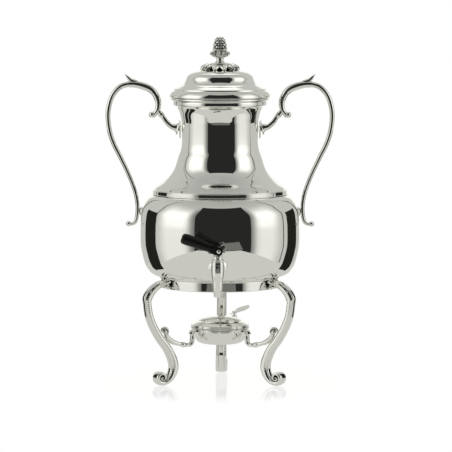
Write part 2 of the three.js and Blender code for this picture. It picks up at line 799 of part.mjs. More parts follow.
const tap = new THREE.Group();
tap.position.y = URN_Y - tapOut;
root.add(tap);

function tapMounting() {
  const disc = alongShank(rodAlongY(ESCUTCHEON_RADIUS, -BELLY_RADIUS - 1.6, -80));
  const dish = disc.subtract(alongShank(rodAlongY(SHANK_RADIUS + GAP, -tapOut, -60)));
  piece("tap_escutcheon", dish.subtract(bellyGrown(GAP)), silver, urn);

  const nutFace = BELLY_RADIUS - 12.5;
  const nutDepth = 4;
  const ring = alongShank(rodAlongY(SHANK_RADIUS + 4.4, -BELLY_RADIUS, -nutFace));
  const bored = ring.subtract(alongShank(rodAlongY(SHANK_RADIUS + GAP, -tapOut, -60)));
  piece("tap_washer", bored.intersect(bellySpace(GAP)), rubber, urn);

  const hex = alongShank(rodAlongY(SHANK_RADIUS + 3.6, -nutFace + GAP, -nutFace + nutDepth, 6));
  piece("tap_lock_nut", hex.subtract(alongShank(rodAlongY(SHANK_RADIUS + GAP, -tapOut, -60))), brass, urn);

  const tube = rodAlongY(SHANK_RADIUS, 0, tapOut - nutFace + nutDepth + 3);
  const bore = rodAlongY(SHANK_BORE, -1, tapOut);
  const shank = tube.subtract(bore).translate([0, 0, tapZ]).subtract(rod(TAP_RADIUS + GAP, 100, 200));
  piece("tap_shank", shank, silver, tap);
}

function tapBody() {
  const outline = points([
    [TAP_RADIUS - 0.5, tapTop],
    [TAP_RADIUS, tapTop - 0.5],
    [TAP_RADIUS, tapZ - 3.5],
    [TAP_RADIUS - 1.5, tapZ - 9],
    [SPOUT_RADIUS + 1.2, spoutZ + 16],
    [SPOUT_RADIUS, spoutZ],
    [THROAT_RADIUS, spoutZ],
    [THROAT_RADIUS, seatZ],
    [CHAMBER_RADIUS, seatZ],
    [CHAMBER_RADIUS, tapTop],
  ]);
  const port = rodAlongY(SHANK_BORE, 0, TAP_RADIUS + 3).translate([0, 0, tapZ]);
  piece("tap_body", turned(outline, SMALL_STEPS).subtract(port), silver, tap);
}

function tapWorks() {
  const stemHole = STEM_RADIUS + STEM_PLAY;
  const plugLow = tapTop - 2.4;
  const bonnet = points([
    [stemHole, plugLow],
    [CHAMBER_RADIUS - 0.4, plugLow],
    [CHAMBER_RADIUS - 0.4, bonnetLow],
    [TAP_RADIUS - 0.2, bonnetLow],
    [TAP_RADIUS - 0.2, bonnetLow + 3.6],
    [TAP_RADIUS - 1.9, bonnetLow + 4.6],
    [TAP_RADIUS - 1.9, bonnetTop],
    [stemHole, bonnetTop],
  ]);
  piece("tap_bonnet", turned(bonnet, SMALL_STEPS), silver, tap);

  const thrust = rod(TAP_RADIUS - 2.2, thrustLow, thrustTop).subtract(rod(stemHole, 0, 500));
  piece("tap_thrust_washer", thrust, brass, tap);

  const cupTop = plugLow - LIFT - COIL_CLOSED;
  const cup = points([
    [0, seatZ + GAP],
    [CHAMBER_RADIUS - 1.4, seatZ + GAP],
    [CHAMBER_RADIUS - 0.7, seatZ + 1.4],
    [CHAMBER_RADIUS - 0.7, seatZ + 3],
    [STEM_RADIUS + 1.6, seatZ + 4],
    [STEM_RADIUS + 1.6, cupTop],
    [stemHole, cupTop],
    [stemHole, seatZ + 2],
    [0, seatZ + 2],
  ]);
  piece("tap_seat_cup", turned(cup, SMALL_STEPS), rubber, tap);

  // The stem's rod ends in a flat yoke that the lever's fork straddles.
  const yoke = new THREE.Shape();
  const round = 4;
  const left = -YOKE_WIDE / 2 - 1.1;
  const right = left + YOKE_WIDE;
  const high = yokeLow + YOKE_HIGH;
  yoke.moveTo(left + 1, yokeLow);
  yoke.lineTo(right - round, yokeLow);
  yoke.quadraticCurveTo(right, yokeLow, right, yokeLow + round);
  yoke.lineTo(right, high - round);
  yoke.quadraticCurveTo(right, high, right - round, high);
  yoke.lineTo(left + 7, high);
  yoke.lineTo(left, yokeLow + 5);
  yoke.lineTo(left, yokeLow + 1);
  const pinHole = rodAlongY(PIN_RADIUS + 0.1 + GAP / 2, -20, 20, 12).translate([PIN_X, 0, pinZ]);
  const head = plate(yoke, YOKE_THICK).subtract(pinHole);
  piece("tap_stem", head.add(rod(STEM_RADIUS, seatZ + 2.3, yokeLow + 1, 12)), silver, tap);

  const coil = new (class extends THREE.Curve {
    getPoint(t, target = new THREE.Vector3()) {
      const angle = t * Math.PI * 2 * 3;
      const z = THREE.MathUtils.lerp(seatZ + 5, plugLow - 0.8, t);
      const radius = STEM_RADIUS + 2.5;
      return target.set(Math.cos(angle) * radius, Math.sin(angle) * radius, z);
    }
  })();
  const wire = new THREE.Shape();
  wire.absellipse(0, 0, 0.4, 0.4, 0, Math.PI * 2);
  const settings = { steps: 27, curveSegments: 2, bevelEnabled: false, extrudePath: coil };
  piece("tap_spring", solid(new THREE.ExtrudeGeometry(wire, settings)), steel, tap);

  const pin = rodAlongY(PIN_RADIUS, -6.4, 6.4, 12).add(rodAlongY(PIN_RADIUS + 1, -7.6, -6.4, 12));
  piece("tap_lever_pin", pin.translate([PIN_X, 0, pinZ]), silver, tap);
}

function tapLever() {
  const length = LEVER_LENGTH - 6.2;
  const grip = smooth(
    [
      [0, -6.2],
      [LEVER_PIN_END * 0.75, -4.8],
      [LEVER_PIN_END, -1.4],
      [LEVER_PIN_END + 0.8, 8],
      [LEVER_FAR_END - 0.6, length * 0.55],
      [LEVER_FAR_END, length * 0.9 - 2],
      [LEVER_FAR_END * 0.7, length - 1],
      [0, length],
    ],
    10,
  );
  const slot = block(YOKE_THICK + 1, 40, 30, 0, 0, 19 - 15);
  const bore = solid(new THREE.CylinderGeometry(PIN_RADIUS + GAP, PIN_RADIUS + GAP, 40, 12)).rotate([0, 0, 90]);
  const body = turned(grip, SMALL_STEPS)
    .subtract(slot)
    .translate([0, -1.5, 0])
    .subtract(bore)
    .rotate([0, 0, 90])
    .rotate([0, LEVER_TILT - 90, 0])
    .translate([PIN_X, 0, pinZ]);
  piece("tap_lever", body, bakelite, tap);
}

standRing();
legs();
holderRing();
burnerBowl();
burnerCover();
wick();
snuffer();
bowl();
neck();
lidShell();
rosette();
finial();
handles();
tapMounting();
tapBody();
tapWorks();
tapLever();

export default root;
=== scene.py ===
"""The looks of a silver-plated coffee urn on its three-legged stand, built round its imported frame.

Metres, +Z up. The tap faces -Y, and the urn's axis stands a little behind the origin.
"""

import json
from math import atan2, cos, degrees, pi, radians, sin

import bmesh
import bpy
from mathutils import Matrix, Vector
from mathutils.geometry import interpolate_bezier


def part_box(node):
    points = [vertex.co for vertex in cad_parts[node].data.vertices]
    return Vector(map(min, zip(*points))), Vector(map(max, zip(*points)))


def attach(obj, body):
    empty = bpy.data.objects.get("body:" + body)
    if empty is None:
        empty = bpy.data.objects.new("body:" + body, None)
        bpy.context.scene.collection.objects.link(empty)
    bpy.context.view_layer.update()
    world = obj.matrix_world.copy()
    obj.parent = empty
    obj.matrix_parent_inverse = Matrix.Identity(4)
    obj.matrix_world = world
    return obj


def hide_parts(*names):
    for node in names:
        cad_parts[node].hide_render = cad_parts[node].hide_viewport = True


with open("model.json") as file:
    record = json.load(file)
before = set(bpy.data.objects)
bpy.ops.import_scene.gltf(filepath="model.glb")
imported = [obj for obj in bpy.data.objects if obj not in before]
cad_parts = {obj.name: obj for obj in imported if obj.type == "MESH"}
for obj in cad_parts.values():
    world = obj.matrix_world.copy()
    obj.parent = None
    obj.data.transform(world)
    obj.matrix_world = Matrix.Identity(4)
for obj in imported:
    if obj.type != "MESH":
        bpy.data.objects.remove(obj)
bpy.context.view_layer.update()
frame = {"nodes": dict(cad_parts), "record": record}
nodes = frame["nodes"]

# ---------- sizes taken from the frame ----------
MM = 0.001
ring_low, ring_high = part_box("stand_ring")
AXIS_Y = (ring_low.y + ring_high.y) / 2  # the urn's axis is x = 0, y = AXIS_Y
AXIS = Vector((0, AXIS_Y, 0))


# ---------- node trees ----------
def empty_tree(holder, output):
    """The node tree of a material or a world, with nothing in it but its output."""
    holder.use_nodes = True
    tree = holder.node_tree
    tree.nodes.clear()
    return tree, tree.nodes.new(output)


def add_node(tree, kind, inputs, **settings):
    """A new node: each input is set to its value, or joined to the output given for it."""
    made = tree.nodes.new(kind)
    for name, value in settings.items():
        setattr(made, name, value)
    for socket, value in inputs.items():
        if isinstance(value, bpy.types.NodeSocket):
            tree.links.new(value, made.inputs[socket])
        else:
            made.inputs[socket].default_value = value
    return made


# ---------- finishes ----------
def new_material(name):
    material = bpy.data.materials.new(name)
    tree, out = empty_tree(material, "ShaderNodeOutputMaterial")
    shader = tree.nodes.new("ShaderNodeBsdfPrincipled")
    tree.links.new(shader.outputs["BSDF"], out.inputs["Surface"])
    return material, tree, shader


def place_noise(tree, scale, detail, stretch=(1, 1, 1)):
    where = add_node(tree, "ShaderNodeTexCoord", {})
    turn = add_node(tree, "ShaderNodeMapping", {"Vector": where.outputs["Object"], "Scale": stretch})
    placed = {"Vector": turn.outputs["Vector"], "Scale": scale, "Detail": detail}
    return add_node(tree, "ShaderNodeTexNoise", placed).outputs["Fac"]


def spread(tree, value, low, high):
    """A pattern's 0.3 to 0.7 spread over low to high."""
    ends = {"From Min": 0.3, "From Max": 0.7, "To Min": low, "To Max": high}
    return add_node(tree, "ShaderNodeMapRange", {"Value": value, **ends}).outputs["Result"]


def tint(tree, value, low, high):
    """A colour that goes from low to high with the pattern."""
    ends = {"A": (*low, 1), "B": (*high, 1)}
    return add_node(tree, "ShaderNodeMix", {**ends, "Factor": value}, data_type="RGBA").outputs["Result"]


def bump(tree, shader, height, strength, distance):
    relief = add_node(
        tree, "ShaderNodeBump", {"Height": height, "Strength": strength, "Distance": distance}
    )
    tree.links.new(relief.outputs["Normal"], shader.inputs["Normal"])


def plated(name, low, high, smooth, dull, wave, wave_size):
    """Polished metal: faint polishing wisps in its roughness and a slow wave left by planishing."""
    material, tree, shader = new_material(name)
    shader.inputs["Metallic"].default_value = 1
    wisps = place_noise(tree, 55, 6)
    tree.links.new(tint(tree, place_noise(tree, 9, 3), low, high), shader.inputs["Base Color"])
    tree.links.new(spread(tree, wisps, smooth, dull), shader.inputs["Roughness"])
    bump(tree, shader, place_noise(tree, wave_size, 1), wave, 0.0006)
    return material


def paint_hollow_shade(material, reach, depth):
    """Painted shade: the base colour darkened towards near black where ambient occlusion finds the hollows
    of a casting.
    """
    tree = material.node_tree
    shader = next(n for n in tree.nodes if n.type == "BSDF_PRINCIPLED")
    colour = shader.inputs["Base Color"].links[0].from_socket
    hidden = add_node(tree, "ShaderNodeAmbientOcclusion", {"Distance": reach}, samples=8, only_local=True)
    ends = {"From Min": depth, "From Max": 0.95}
    open_share = add_node(tree, "ShaderNodeMapRange", {"Value": hidden.outputs["AO"], **ends})
    # painted shade: the near-black colour laid into the hollows that ambient occlusion finds
    painted_hollow_shade = (0.07, 0.07, 0.06, 1)
    mix = add_node(
        tree,
        "ShaderNodeMix",
        {"A": painted_hollow_shade, "B": colour, "Factor": open_share.outputs["Result"]},
        data_type="RGBA",
    )
    tree.links.new(mix.outputs["Result"], shader.inputs["Base Color"])


def black_lever_plastic():
    material, tree, shader = new_material("black_moulded_lever")
    grain = place_noise(tree, 420, 5)
    black = tint(tree, grain, (0.006, 0.006, 0.005), (0.012, 0.011, 0.009))
    tree.links.new(black, shader.inputs["Base Color"])
    tree.links.new(spread(tree, grain, 0.34, 0.46), shader.inputs["Roughness"])
    shader.inputs["Specular IOR Level"].default_value = 0.22
    bump(tree, shader, grain, 0.12, 0.0002)
    return material


def cotton_wick():
    material, tree, shader = new_material("cotton_wick")
    weave = place_noise(tree, 900, 3, (1, 1, 0.25))
    tree.links.new(tint(tree, weave, (0.62, 0.56, 0.44), (0.9, 0.87, 0.78)), shader.inputs["Base Color"])
    shader.inputs["Roughness"].default_value = 0.95
    bump(tree, shader, weave, 0.8, 0.0005)
    return material


def soft_rubber():
    material, tree, shader = new_material("grey_rubber")
    grain = place_noise(tree, 500, 4)
    tree.links.new(tint(tree, grain, (0.02, 0.02, 0.02), (0.05, 0.05, 0.05)), shader.inputs["Base Color"])
    shader.inputs["Roughness"].default_value = 0.8
    bump(tree, shader, grain, 0.3, 0.0003)
    return material


SILVER = plated("bright_silver_plate", (0.9, 0.9, 0.87), (0.95, 0.95, 0.92), 0.015, 0.045, 0.02, 14)
CAST = plated("cast_plate", (0.86, 0.86, 0.82), (0.93, 0.93, 0.9), 0.03, 0.08, 0.03, 120)
# painted shade in the castings' hollows, from ambient occlusion
paint_hollow_shade(CAST, 0.003, 0.25)
BRASS = plated("turned_brass", (0.62, 0.43, 0.17), (0.76, 0.56, 0.26), 0.2, 0.34, 0.1, 300)
STEEL = plated("drawn_steel", (0.42, 0.42, 0.42), (0.58, 0.58, 0.57), 0.24, 0.36, 0.1, 300)
BLACK = black_lever_plastic()
COTTON = cotton_wick()
RUBBER = soft_rubber()

# ---------- studio ----------
CAMERA_DISTANCE = 4.0
CAMERA_HEIGHT = 0.563
CAMERA_TURN = 1.3  # degrees round to the right of the tap
LENS = 240
AIM = Vector((0.008, AXIS_Y, 0.208))


def camera():
    data = bpy.data.cameras.new("studio_camera")
    data.lens = LENS
    data.sensor_width = 36
    eye = bpy.data.objects.new("studio_camera", data)
    bpy.context.scene.collection.objects.link(eye)
    turn = radians(CAMERA_TURN)
    eye.location = (CAMERA_DISTANCE * sin(turn), AXIS_Y - CAMERA_DISTANCE * cos(turn), CAMERA_HEIGHT)
    eye.rotation_euler = (AIM - eye.location).to_track_quat("-Z", "Y").to_euler()
    bpy.context.scene.camera = eye


class Sky:
    """The studio walls by direction, in degrees: azimuth from the front (-Y) to the right, and elevation."""

    def __init__(self, tree):
        self.tree = tree
        where = add_node(tree, "ShaderNodeTexCoord", {})
        x, y, z = add_node(tree, "ShaderNodeSeparateXYZ", {0: where.outputs["Generated"]}).outputs
        self.azimuth = self.times(self.math("ARCTAN2", x, self.times(y, -1)), 180 / pi)
        self.elevation = self.times(self.math("ARCSINE", z), 180 / pi)

    def math(self, operation, *values):
        return add_node(self.tree, "ShaderNodeMath", dict(enumerate(values)), operation=operation).outputs[0]

    def times(self, a, b):
        return self.math("MULTIPLY", a, b)

    def rise(self, value, none, full):
        """0 at none and before it, 1 at full and past it, and smooth between, whichever is the larger."""
        ends = {"From Min": min(none, full), "From Max": max(none, full)}
        levels = {"To Min": 0, "To Max": 1} if none < full else {"To Min": 1, "To Max": 0}
        inputs = {"Value": value, **ends, **levels}
        return add_node(
            self.tree, "ShaderNodeMapRange", inputs, interpolation_type="SMOOTHSTEP"
        ).outputs["Result"]

    def band(self, value, low, high, edge_low, edge_high):
        """1 between low and high, with soft edges inside them."""
        return self.times(self.rise(value, low, low + edge_low), self.rise(value, high, high - edge_high))

    def over(self, below, level, mask):
        """level laid over below where mask is 1."""
        inputs = {"A": below, "B": level, "Factor": mask}
        return add_node(self.tree, "ShaderNodeMix", inputs, data_type="FLOAT").outputs["Result"]


def softbox(sky, level, side):
    """A tall box of light to one side: a shaded inner edge, and a black line where its far edge ends."""
    inner = 45 if side > 0 else 36
    outer = 104
    across = sky.times(sky.azimuth, side)
    box = sky.band(across, inner, outer, 22, 24)
    tall = sky.rise(sky.elevation, 54, 20)
    bright = sky.over(0.84, 1.3, sky.rise(sky.elevation, -6, 16))
    level = sky.over(level, bright, sky.times(box, tall))
    shade = sky.band(across, inner - 2, inner + 14, 1, 15)
    level = sky.over(level, 0.2, sky.times(shade, sky.rise(sky.elevation, 60, 40)))
    line = sky.band(across, outer + 0.2, outer + 2.6, 0.5, 0.5)
    return sky.over(level, 0.03, sky.times(line, sky.rise(sky.elevation, 62, 56)))


def studio_walls():
    world = bpy.data.worlds.new("studio")
    bpy.context.scene.world = world
    tree, out = empty_tree(world, "ShaderNodeOutputWorld")
    sky = Sky(tree)
    az, el = sky.azimuth, sky.elevation
    # Grey walls, darker overhead but for a paler patch above to the left.
    level = sky.over(0.4, 0.56, sky.rise(el, 88, 30))
    level = sky.over(level, 0.44, sky.times(sky.rise(el, 60, 88), sky.rise(az, 40, -60)))
    for side in (-1, 1):
        level = softbox(sky, level, side)
    # The dark end of the room behind the camera.
    opening = sky.band(az, -36, 47, 0.6, 0.6)
    level = sky.over(level, 0.021, sky.times(opening, sky.rise(el, 57.5, 55.5)))
    # White paper behind the urn, and a lamp above it.
    behind = sky.math("ABSOLUTE", az)
    level = sky.over(level, 1.0, sky.times(sky.rise(behind, 158, 166), sky.rise(el, 24, 14)))
    aloft = sky.times(sky.rise(behind, 138, 158), sky.band(el, 43, 76, 8, 10))
    level = sky.over(level, 1.15, aloft)
    # The backdrop itself is plain white, and what the silver mirrors is a little warm.
    seen = add_node(tree, "ShaderNodeLightPath", {}).outputs["Is Camera Ray"]
    level = sky.over(level, 1.0, seen)
    blue = sky.times(level, sky.over(0.955, 1.0, seen))
    colour = add_node(tree, "ShaderNodeCombineColor", {0: level, 1: level, 2: blue})
    back = add_node(tree, "ShaderNodeBackground", {"Color": colour.outputs[0]})
    tree.links.new(back.outputs[0], out.inputs["Surface"])


def sheet_of_card(name, size, place, material):
    """A flat card of width by height, laid or stood up by its place matrix."""
    bm = bmesh.new()
    bmesh.ops.create_grid(bm, x_segments=1, y_segments=1, size=0.5)
    bmesh.ops.scale(bm, vec=(*size, 1), verts=bm.verts)
    mesh = bpy.data.meshes.new(name)
    bm.to_mesh(mesh)
    bm.free()
    mesh.materials.append(material)
    card = bpy.data.objects.new(name, mesh)
    card.matrix_world = place
    bpy.context.scene.collection.objects.link(card)
    return card


def only_mirrored(card):
    """A card that shows in the silver and nowhere else."""
    card.visible_camera = False
    card.visible_shadow = False
    card.visible_diffuse = False


def glow(name, level):
    material = bpy.data.materials.new(name)
    tree, out = empty_tree(material, "ShaderNodeOutputMaterial")
    light = add_node(tree, "ShaderNodeEmission", {"Color": (*level, 1)})
    tree.links.new(light.outputs[0], out.inputs["Surface"])
    return material


def table_top():
    """A white table that shows itself pure white and keeps a faint, blurred mirror image close in."""
    material = bpy.data.materials.new("white_table")
    tree, out = empty_tree(material, "ShaderNodeOutputMaterial")
    seen = add_node(tree, "ShaderNodeLightPath", {}).outputs["Is Camera Ray"]
    direct = add_node(tree, "ShaderNodeEmission", {"Color": (1, 1, 1, 1)})
    mirrored = add_node(tree, "ShaderNodeEmission", {"Color": (0.62, 0.62, 0.59, 1)})
    lit = add_node(tree, "ShaderNodeMixShader", {0: seen, 1: mirrored.outputs[0], 2: direct.outputs[0]})
    gloss = add_node(tree, "ShaderNodeBsdfGlossy", {"Roughness": 0.09, "Color": (1, 1, 1, 1)})
    where = add_node(tree, "ShaderNodeTexCoord", {})
    far = add_node(tree, "ShaderNodeVectorMath", {0: where.outputs["Object"]}, operation="LENGTH")
    fading = {"Value": far.outputs["Value"], "From Min": 0.1, "From Max": 0.21, "To Min": 0.3, "To Max": 0}
    fade = add_node(tree, "ShaderNodeMapRange", fading, interpolation_type="SMOOTHSTEP")
    near = add_node(tree, "ShaderNodeMath", {0: fade.outputs["Result"], 1: seen}, operation="MULTIPLY")
    both = add_node(
        tree, "ShaderNodeMixShader", {0: near.outputs[0], 1: lit.outputs[0], 2: gloss.outputs[0]}
    )
    tree.links.new(both.outputs[0], out.inputs["Surface"])
    return material


def table():
    top = sheet_of_card("table", (0.9, 1.3), Matrix.Translation((0, -0.15, -0.0004)), table_top())
    top.data.transform(top.matrix_world)
    top.matrix_world = Matrix()


def bench():
    """A grey bench on the floor before the table, wider at its far edge, which the belly mirrors."""
    card = sheet_of_card("bench", (1, 1), Matrix(), glow("grey_bench", (0.17, 0.17, 0.16)))
    below = -0.001
    for corner in card.data.vertices:
        if corner.co.y > 0:
            corner.co = (0.05 + 1.06 * corner.co.x, -0.88, below)
        else:
            corner.co = (0.21 + 1.74 * corner.co.x, -2.0, below)
    only_mirrored(card)


def flags():
    """Two narrow black cards beside the urn, for the dark edges of the polished silver."""
    black = glow("black_card", (0.016, 0.016, 0.013))
    away, height = 0.31, 0.148
    for name, side, azimuth in (("left_flag", -1, 103), ("right_flag", 1, 112)):
        out = Vector((side * sin(radians(azimuth)), -cos(radians(azimuth)), 0))
        stand = Matrix.Translation(AXIS + out * away + Vector((0, 0, height)))
        turn = (-out).to_track_quat("Z", "Y").to_matrix().to_4x4()
        only_mirrored(sheet_of_card(name, (0.15, 0.294), stand @ turn, black))


def studio():
    studio_walls()
    table()
    bench()
    flags()
    bpy.context.scene.view_settings.view_transform = "Standard"


# ---------- tools for pieces: millimetres from the urn's axis and the table ----------
TURNED = 128  # steps round a large turned piece
BELLY_STEPS = 192  # steps round the widest ones
NECK_STEPS = 160
ON_AXIS = 1e-6  # a point nearer the axis than this is on it
SAME_POINT = 1e-4  # points nearer than this are merged
HOME = {
    node: body for body, members in frame["record"]["behaviour"]["bodies"].items() for node in members
}


def flow(points, steps=8):
    """A smooth line through the points: (radius, height) pairs or (out, height) pairs."""
    spots = [Vector(p) for p in points]
    ends = [spots[0] * 2 - spots[1], *spots, spots[-1] * 2 - spots[-2]]
    line = [spots[0]]
    for a, b, c, d in zip(ends, ends[1:], ends[2:], ends[3:]):
        reach = (c - b).length / 3
        leave, arrive = (c - a).normalized() * reach, (d - b).normalized() * reach
        line += interpolate_bezier(b, b + leave, c - arrive, c, steps + 1)[1:]
    return [Vector(p[:2]) for p in line]


def round_corner(centre, radius, start, end, steps=6):
    """Points along an arc, from the start angle to the end angle in degrees."""
    turns = [radians(start + (end - start) * i / steps) for i in range(steps + 1)]
    return [Vector((centre[0] + radius * cos(a), centre[1] + radius * sin(a))) for a in turns]


def volute(centre, start, sweep, widest, least, steps, hand=1):
    """A line that winds inwards round a centre. A hand of -1 winds it the other way round."""
    line = []
    for i in range(steps + 1):
        angle = radians(start + sweep * i / steps)
        away = widest - (widest - least) * i / steps
        line.append(Vector((centre[0] + hand * cos(angle) * away, centre[1] + sin(angle) * away)))
    return line


def beside(line, distance):
    """The line moved sideways, to its right along the way it runs."""
    moved = []
    for i, spot in enumerate(line):
        along = (line[min(i + 1, len(line) - 1)] - line[max(i - 1, 0)]).normalized()
        moved.append(spot + Vector((along.y, -along.x)) * distance)
    return moved


def walled(outer, wall):
    """The closed outline of a shell: its outer line and the same line a wall's thickness inside."""
    inner = beside(outer, -wall)
    for first, last in ((outer[0], 0), (outer[-1], -1)):
        if first.x < ON_AXIS:
            inner[last].x = 0
    return [*outer, *reversed(inner)]


def spun(outline, steps=TURNED):
    """An outline of (radius, height) turned once round the axis, closed on itself if it leaves the axis."""
    bm = bmesh.new()
    verts = [bm.verts.new((radius, 0, height)) for radius, height in outline]
    edges = [bm.edges.new(pair) for pair in zip(verts, verts[1:])]
    if max(verts[0].co.x, verts[-1].co.x) > ON_AXIS:
        edges.append(bm.edges.new((verts[-1], verts[0])))
    bmesh.ops.spin(
        bm, geom=verts + edges, cent=(0, 0, 0), axis=(0, 0, 1), angle=2 * pi, steps=steps, use_merge=True
    )
    bmesh.ops.remove_doubles(bm, verts=bm.verts, dist=SAME_POINT)
    return bm


def lofted(count, place, around):
    """A closed bar: a flat net wrapped into a tube, each point put at place(station, angle), ends shut."""
    bm = bmesh.new()
    net = bmesh.ops.create_grid(bm, x_segments=around, y_segments=count - 1, size=0.5)["verts"]
    for v in net:
        station = round((v.co.y + 0.5) * (count - 1))
        step = round((v.co.x + 0.5) * around) % around
        v.co = place(station, 2 * pi * step / around)
    bmesh.ops.remove_doubles(bm, verts=bm.verts, dist=SAME_POINT / 10)
    open_edges = [e for e in bm.edges if e.is_boundary]
    bmesh.ops.holes_fill(bm, edges=open_edges, sides=0)
    return bm


def oval(angle, t):
    return cos(angle), sin(angle)


def distances(path):
    """How far along the path each of its points is."""
    gone = [0]
    for a, b in zip(path, path[1:]):
        gone.append(gone[-1] + (b - a).length)
    return gone


def bar(path, thick, wide, section=oval, around=24):
    """A bar along a line of (out, height): half-thickness and half-width change with t from 0 to 1."""
    gone = distances(path)
    ways = [g / gone[-1] for g in gone]

    def place(i, angle):
        along = (path[min(i + 1, len(path) - 1)] - path[max(i - 1, 0)]).normalized()
        out, across = section(angle, ways[i])
        spot = path[i] + Vector((-along.y, along.x)) * out * thick(ways[i])
        return Vector((spot.x, across * wide(ways[i]), spot.y))

    return lofted(len(path), place, around)


def between(*stops):
    """A size that changes evenly between (t, size) stops, easing in and out."""

    def size(t):
        for (t0, a), (t1, b) in zip(stops, stops[1:]):
            if t <= t1:
                share = max(0, min(1, (t - t0) / (t1 - t0)))
                return a + (b - a) * share * share * (3 - 2 * share)
        return stops[-1][1]

    return size


def bead(centre, radius, squash=(1, 1, 1)):
    bm = bmesh.new()
    bmesh.ops.create_uvsphere(bm, u_segments=20, v_segments=12, radius=radius)
    bmesh.ops.scale(bm, vec=squash, verts=bm.verts)
    bmesh.ops.translate(bm, vec=centre, verts=bm.verts)
    return bm


def leaf_section(angle, t):
    """Across a cast leaf: thin sides, a raised middle rib and a fold on each half."""
    across = sin(angle)
    out = 0.5 * cos(angle)
    if out > 0:
        out += 0.55 * max(0, 1 - abs(across) / 0.22) + 0.22 * sin(pi * 3 * abs(across)) ** 2
    return out, across


def leaf_width(wide, lobes, depth):
    """Half the width of a leaf that swells, is lobed along its edges and ends in a point."""

    def half(t):
        body = sin(pi * min(1, 0.1 + 0.9 * t)) ** 0.62
        return wide * max(0.04, body) * (1 - depth * sin(pi * lobes * t) ** 2)

    return half


def round_the_axis(angle):
    return Matrix.Rotation(radians(angle), 4, "Z")


def joined(*parts):
    """Several bmeshes as one."""
    whole = bmesh.new()
    for part in parts:
        mesh = bpy.data.meshes.new("part")
        part.to_mesh(mesh)
        part.free()
        whole.from_mesh(mesh)
        bpy.data.meshes.remove(mesh)
    return whole


def finished(bm, name, metal, stands_for, place=None, crease=38):
    """The bmesh as a piece of the urn: put in its place, made metres, and standing for its CAD nodes."""
    bmesh.ops.remove_doubles(bm, verts=bm.verts, dist=SAME_POINT)
    if place:
        bmesh.ops.transform(bm, matrix=place, verts=bm.verts)
    bmesh.ops.scale(bm, vec=(MM, MM, MM), verts=bm.verts)
    bmesh.ops.translate(bm, vec=AXIS, verts=bm.verts)
    bmesh.ops.recalc_face_normals(bm, faces=bm.faces)
    mesh = bpy.data.meshes.new(name)
    bm.to_mesh(mesh)
    bm.free()
    mesh.shade_smooth()
    mesh.set_sharp_from_angle(angle=radians(crease))
    mesh.materials.append(metal)
    piece = bpy.data.objects.new(name, mesh)
    bpy.context.scene.collection.objects.link(piece)
    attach(piece, HOME[stands_for[0]])
    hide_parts(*stands_for)


def casting(parts, node, turn, crease=50):
    """A cast piece, named after the one CAD node that it stands for."""
    finished(joined(*parts), node + "_casting", CAST, [node], turn, crease)


class Span:
    """A CAD piece's reach in millimetres: low, high and the radius from the urn's axis."""

    def __init__(self, node):
        low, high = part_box(node)
        self.low, self.high = low.z / MM, high.z / MM
        self.out = max(abs(low.x), abs(high.x)) / MM


# ---------- urn body ----------
WALL = 1.3  # the silver sheet of bowl, neck and lid


def belly():
    s = Span("bowl")
    ring = s.low + 5.4
    outer = flow(
        [
            (0, s.low),
            (40, s.low + 0.2),
            (60, s.low + 1.4),
            (70, s.low + 3.8),
            (76, s.low + 6.2),
            (84.5, ring + 2.7),
            (91, ring + 5.2),
            (96, ring + 9.6),
            (100.5, ring + 17.5),
            (104.5, ring + 32),
            (s.out, ring + 46),
            (s.out, ring + 70),
            (s.out - 0.8, s.high - 30.3),
            (s.out - 2.6, s.high - 19.3),
            (s.out - 6.4, s.high - 11),
            (95, s.high - 4),
            (90, s.high),
        ],
        10,
    )
    finished(spun(walled(outer, WALL), BELLY_STEPS), "belly_shell", SILVER, ["bowl"])


def foot_rim():
    s = Span("foot_rim")
    half = 1.1  # half the rim's thickness
    wire = round_corner((s.out - half, s.low + half), half, 180, 360)
    outline = [*wire, Vector((s.out, s.high)), Vector((s.out - 2 * half, s.high))]
    finished(spun(outline), "foot_rim_wire", SILVER, ["foot_rim"])


def shoulder_band():
    s = Span("shoulder_band")
    inside, face = s.out - 3.6, s.out
    low, high = s.low, s.high + 0.2
    outline = [
        Vector((inside, low)),
        Vector((face - 0.8, low)),
        *round_corner((face - 0.7, low + 0.7), 0.7, -90, 60),
        Vector((face - 0.5, low + 1.4)),
        Vector((face - 0.5, low + 1.7)),
        Vector((face - 0.5, high - 1.7)),
        Vector((face - 0.5, high - 1.4)),
        *round_corner((face - 0.7, high - 0.7), 0.7, -60, 90),
        Vector((face - 2.4, high)),
        Vector((inside, high)),
    ]
    finished(spun(outline, BELLY_STEPS), "shoulder_band_strip", SILVER, ["shoulder_band"])


def neck():
    s = Span("neck")
    waist = 50.9  # the neck's narrowest radius
    flare = flow(
        [
            (s.out, s.low),
            (s.out - 4.2, s.low + 4.6),
            (s.out - 14.3, s.low + 12.6),
            (65.3, s.low + 21),
            (60.3, s.low + 29),
            (55.2, s.low + 44.7),
            (52.3, s.low + 52.7),
            (waist, s.low + 62.7),
            (waist, s.high - 30.4),
            (waist + 1.2, s.high - 23.4),
            (waist + 3.4, s.high - 15.5),
            (waist + 6.9, s.high - 9.6),
            (waist + 9.7, s.high - 6.6),
        ],
        10,
    )
    band = [
        Vector((waist + 10.8, s.high - 6.2)),
        Vector((waist + 11.3, s.high - 5.6)),
        Vector((waist + 11.4, s.high - 4.6)),
        Vector((waist + 11.4, s.high - 1.8)),
        Vector((waist + 11.2, s.high - 0.8)),
        Vector((waist + 10.6, s.high)),
    ]
    finished(spun(walled([*flare, *band], WALL), NECK_STEPS), "neck_shell", SILVER, ["neck"])


def mouth_rim():
    s = Span("mouth_rim")
    mid = (s.low + s.high) / 2
    outline = [
        Vector((s.out - 4.3, s.high)),
        Vector((s.out - 4.3, s.low)),
        Vector((s.out - 2.6, s.low)),
        *round_corner((s.out - 1.8, mid), 1.8, -80, 80, 10),
        Vector((s.out - 2.6, s.high)),
    ]
    finished(spun(outline, NECK_STEPS), "mouth_rim_wire", SILVER, ["mouth_rim"])


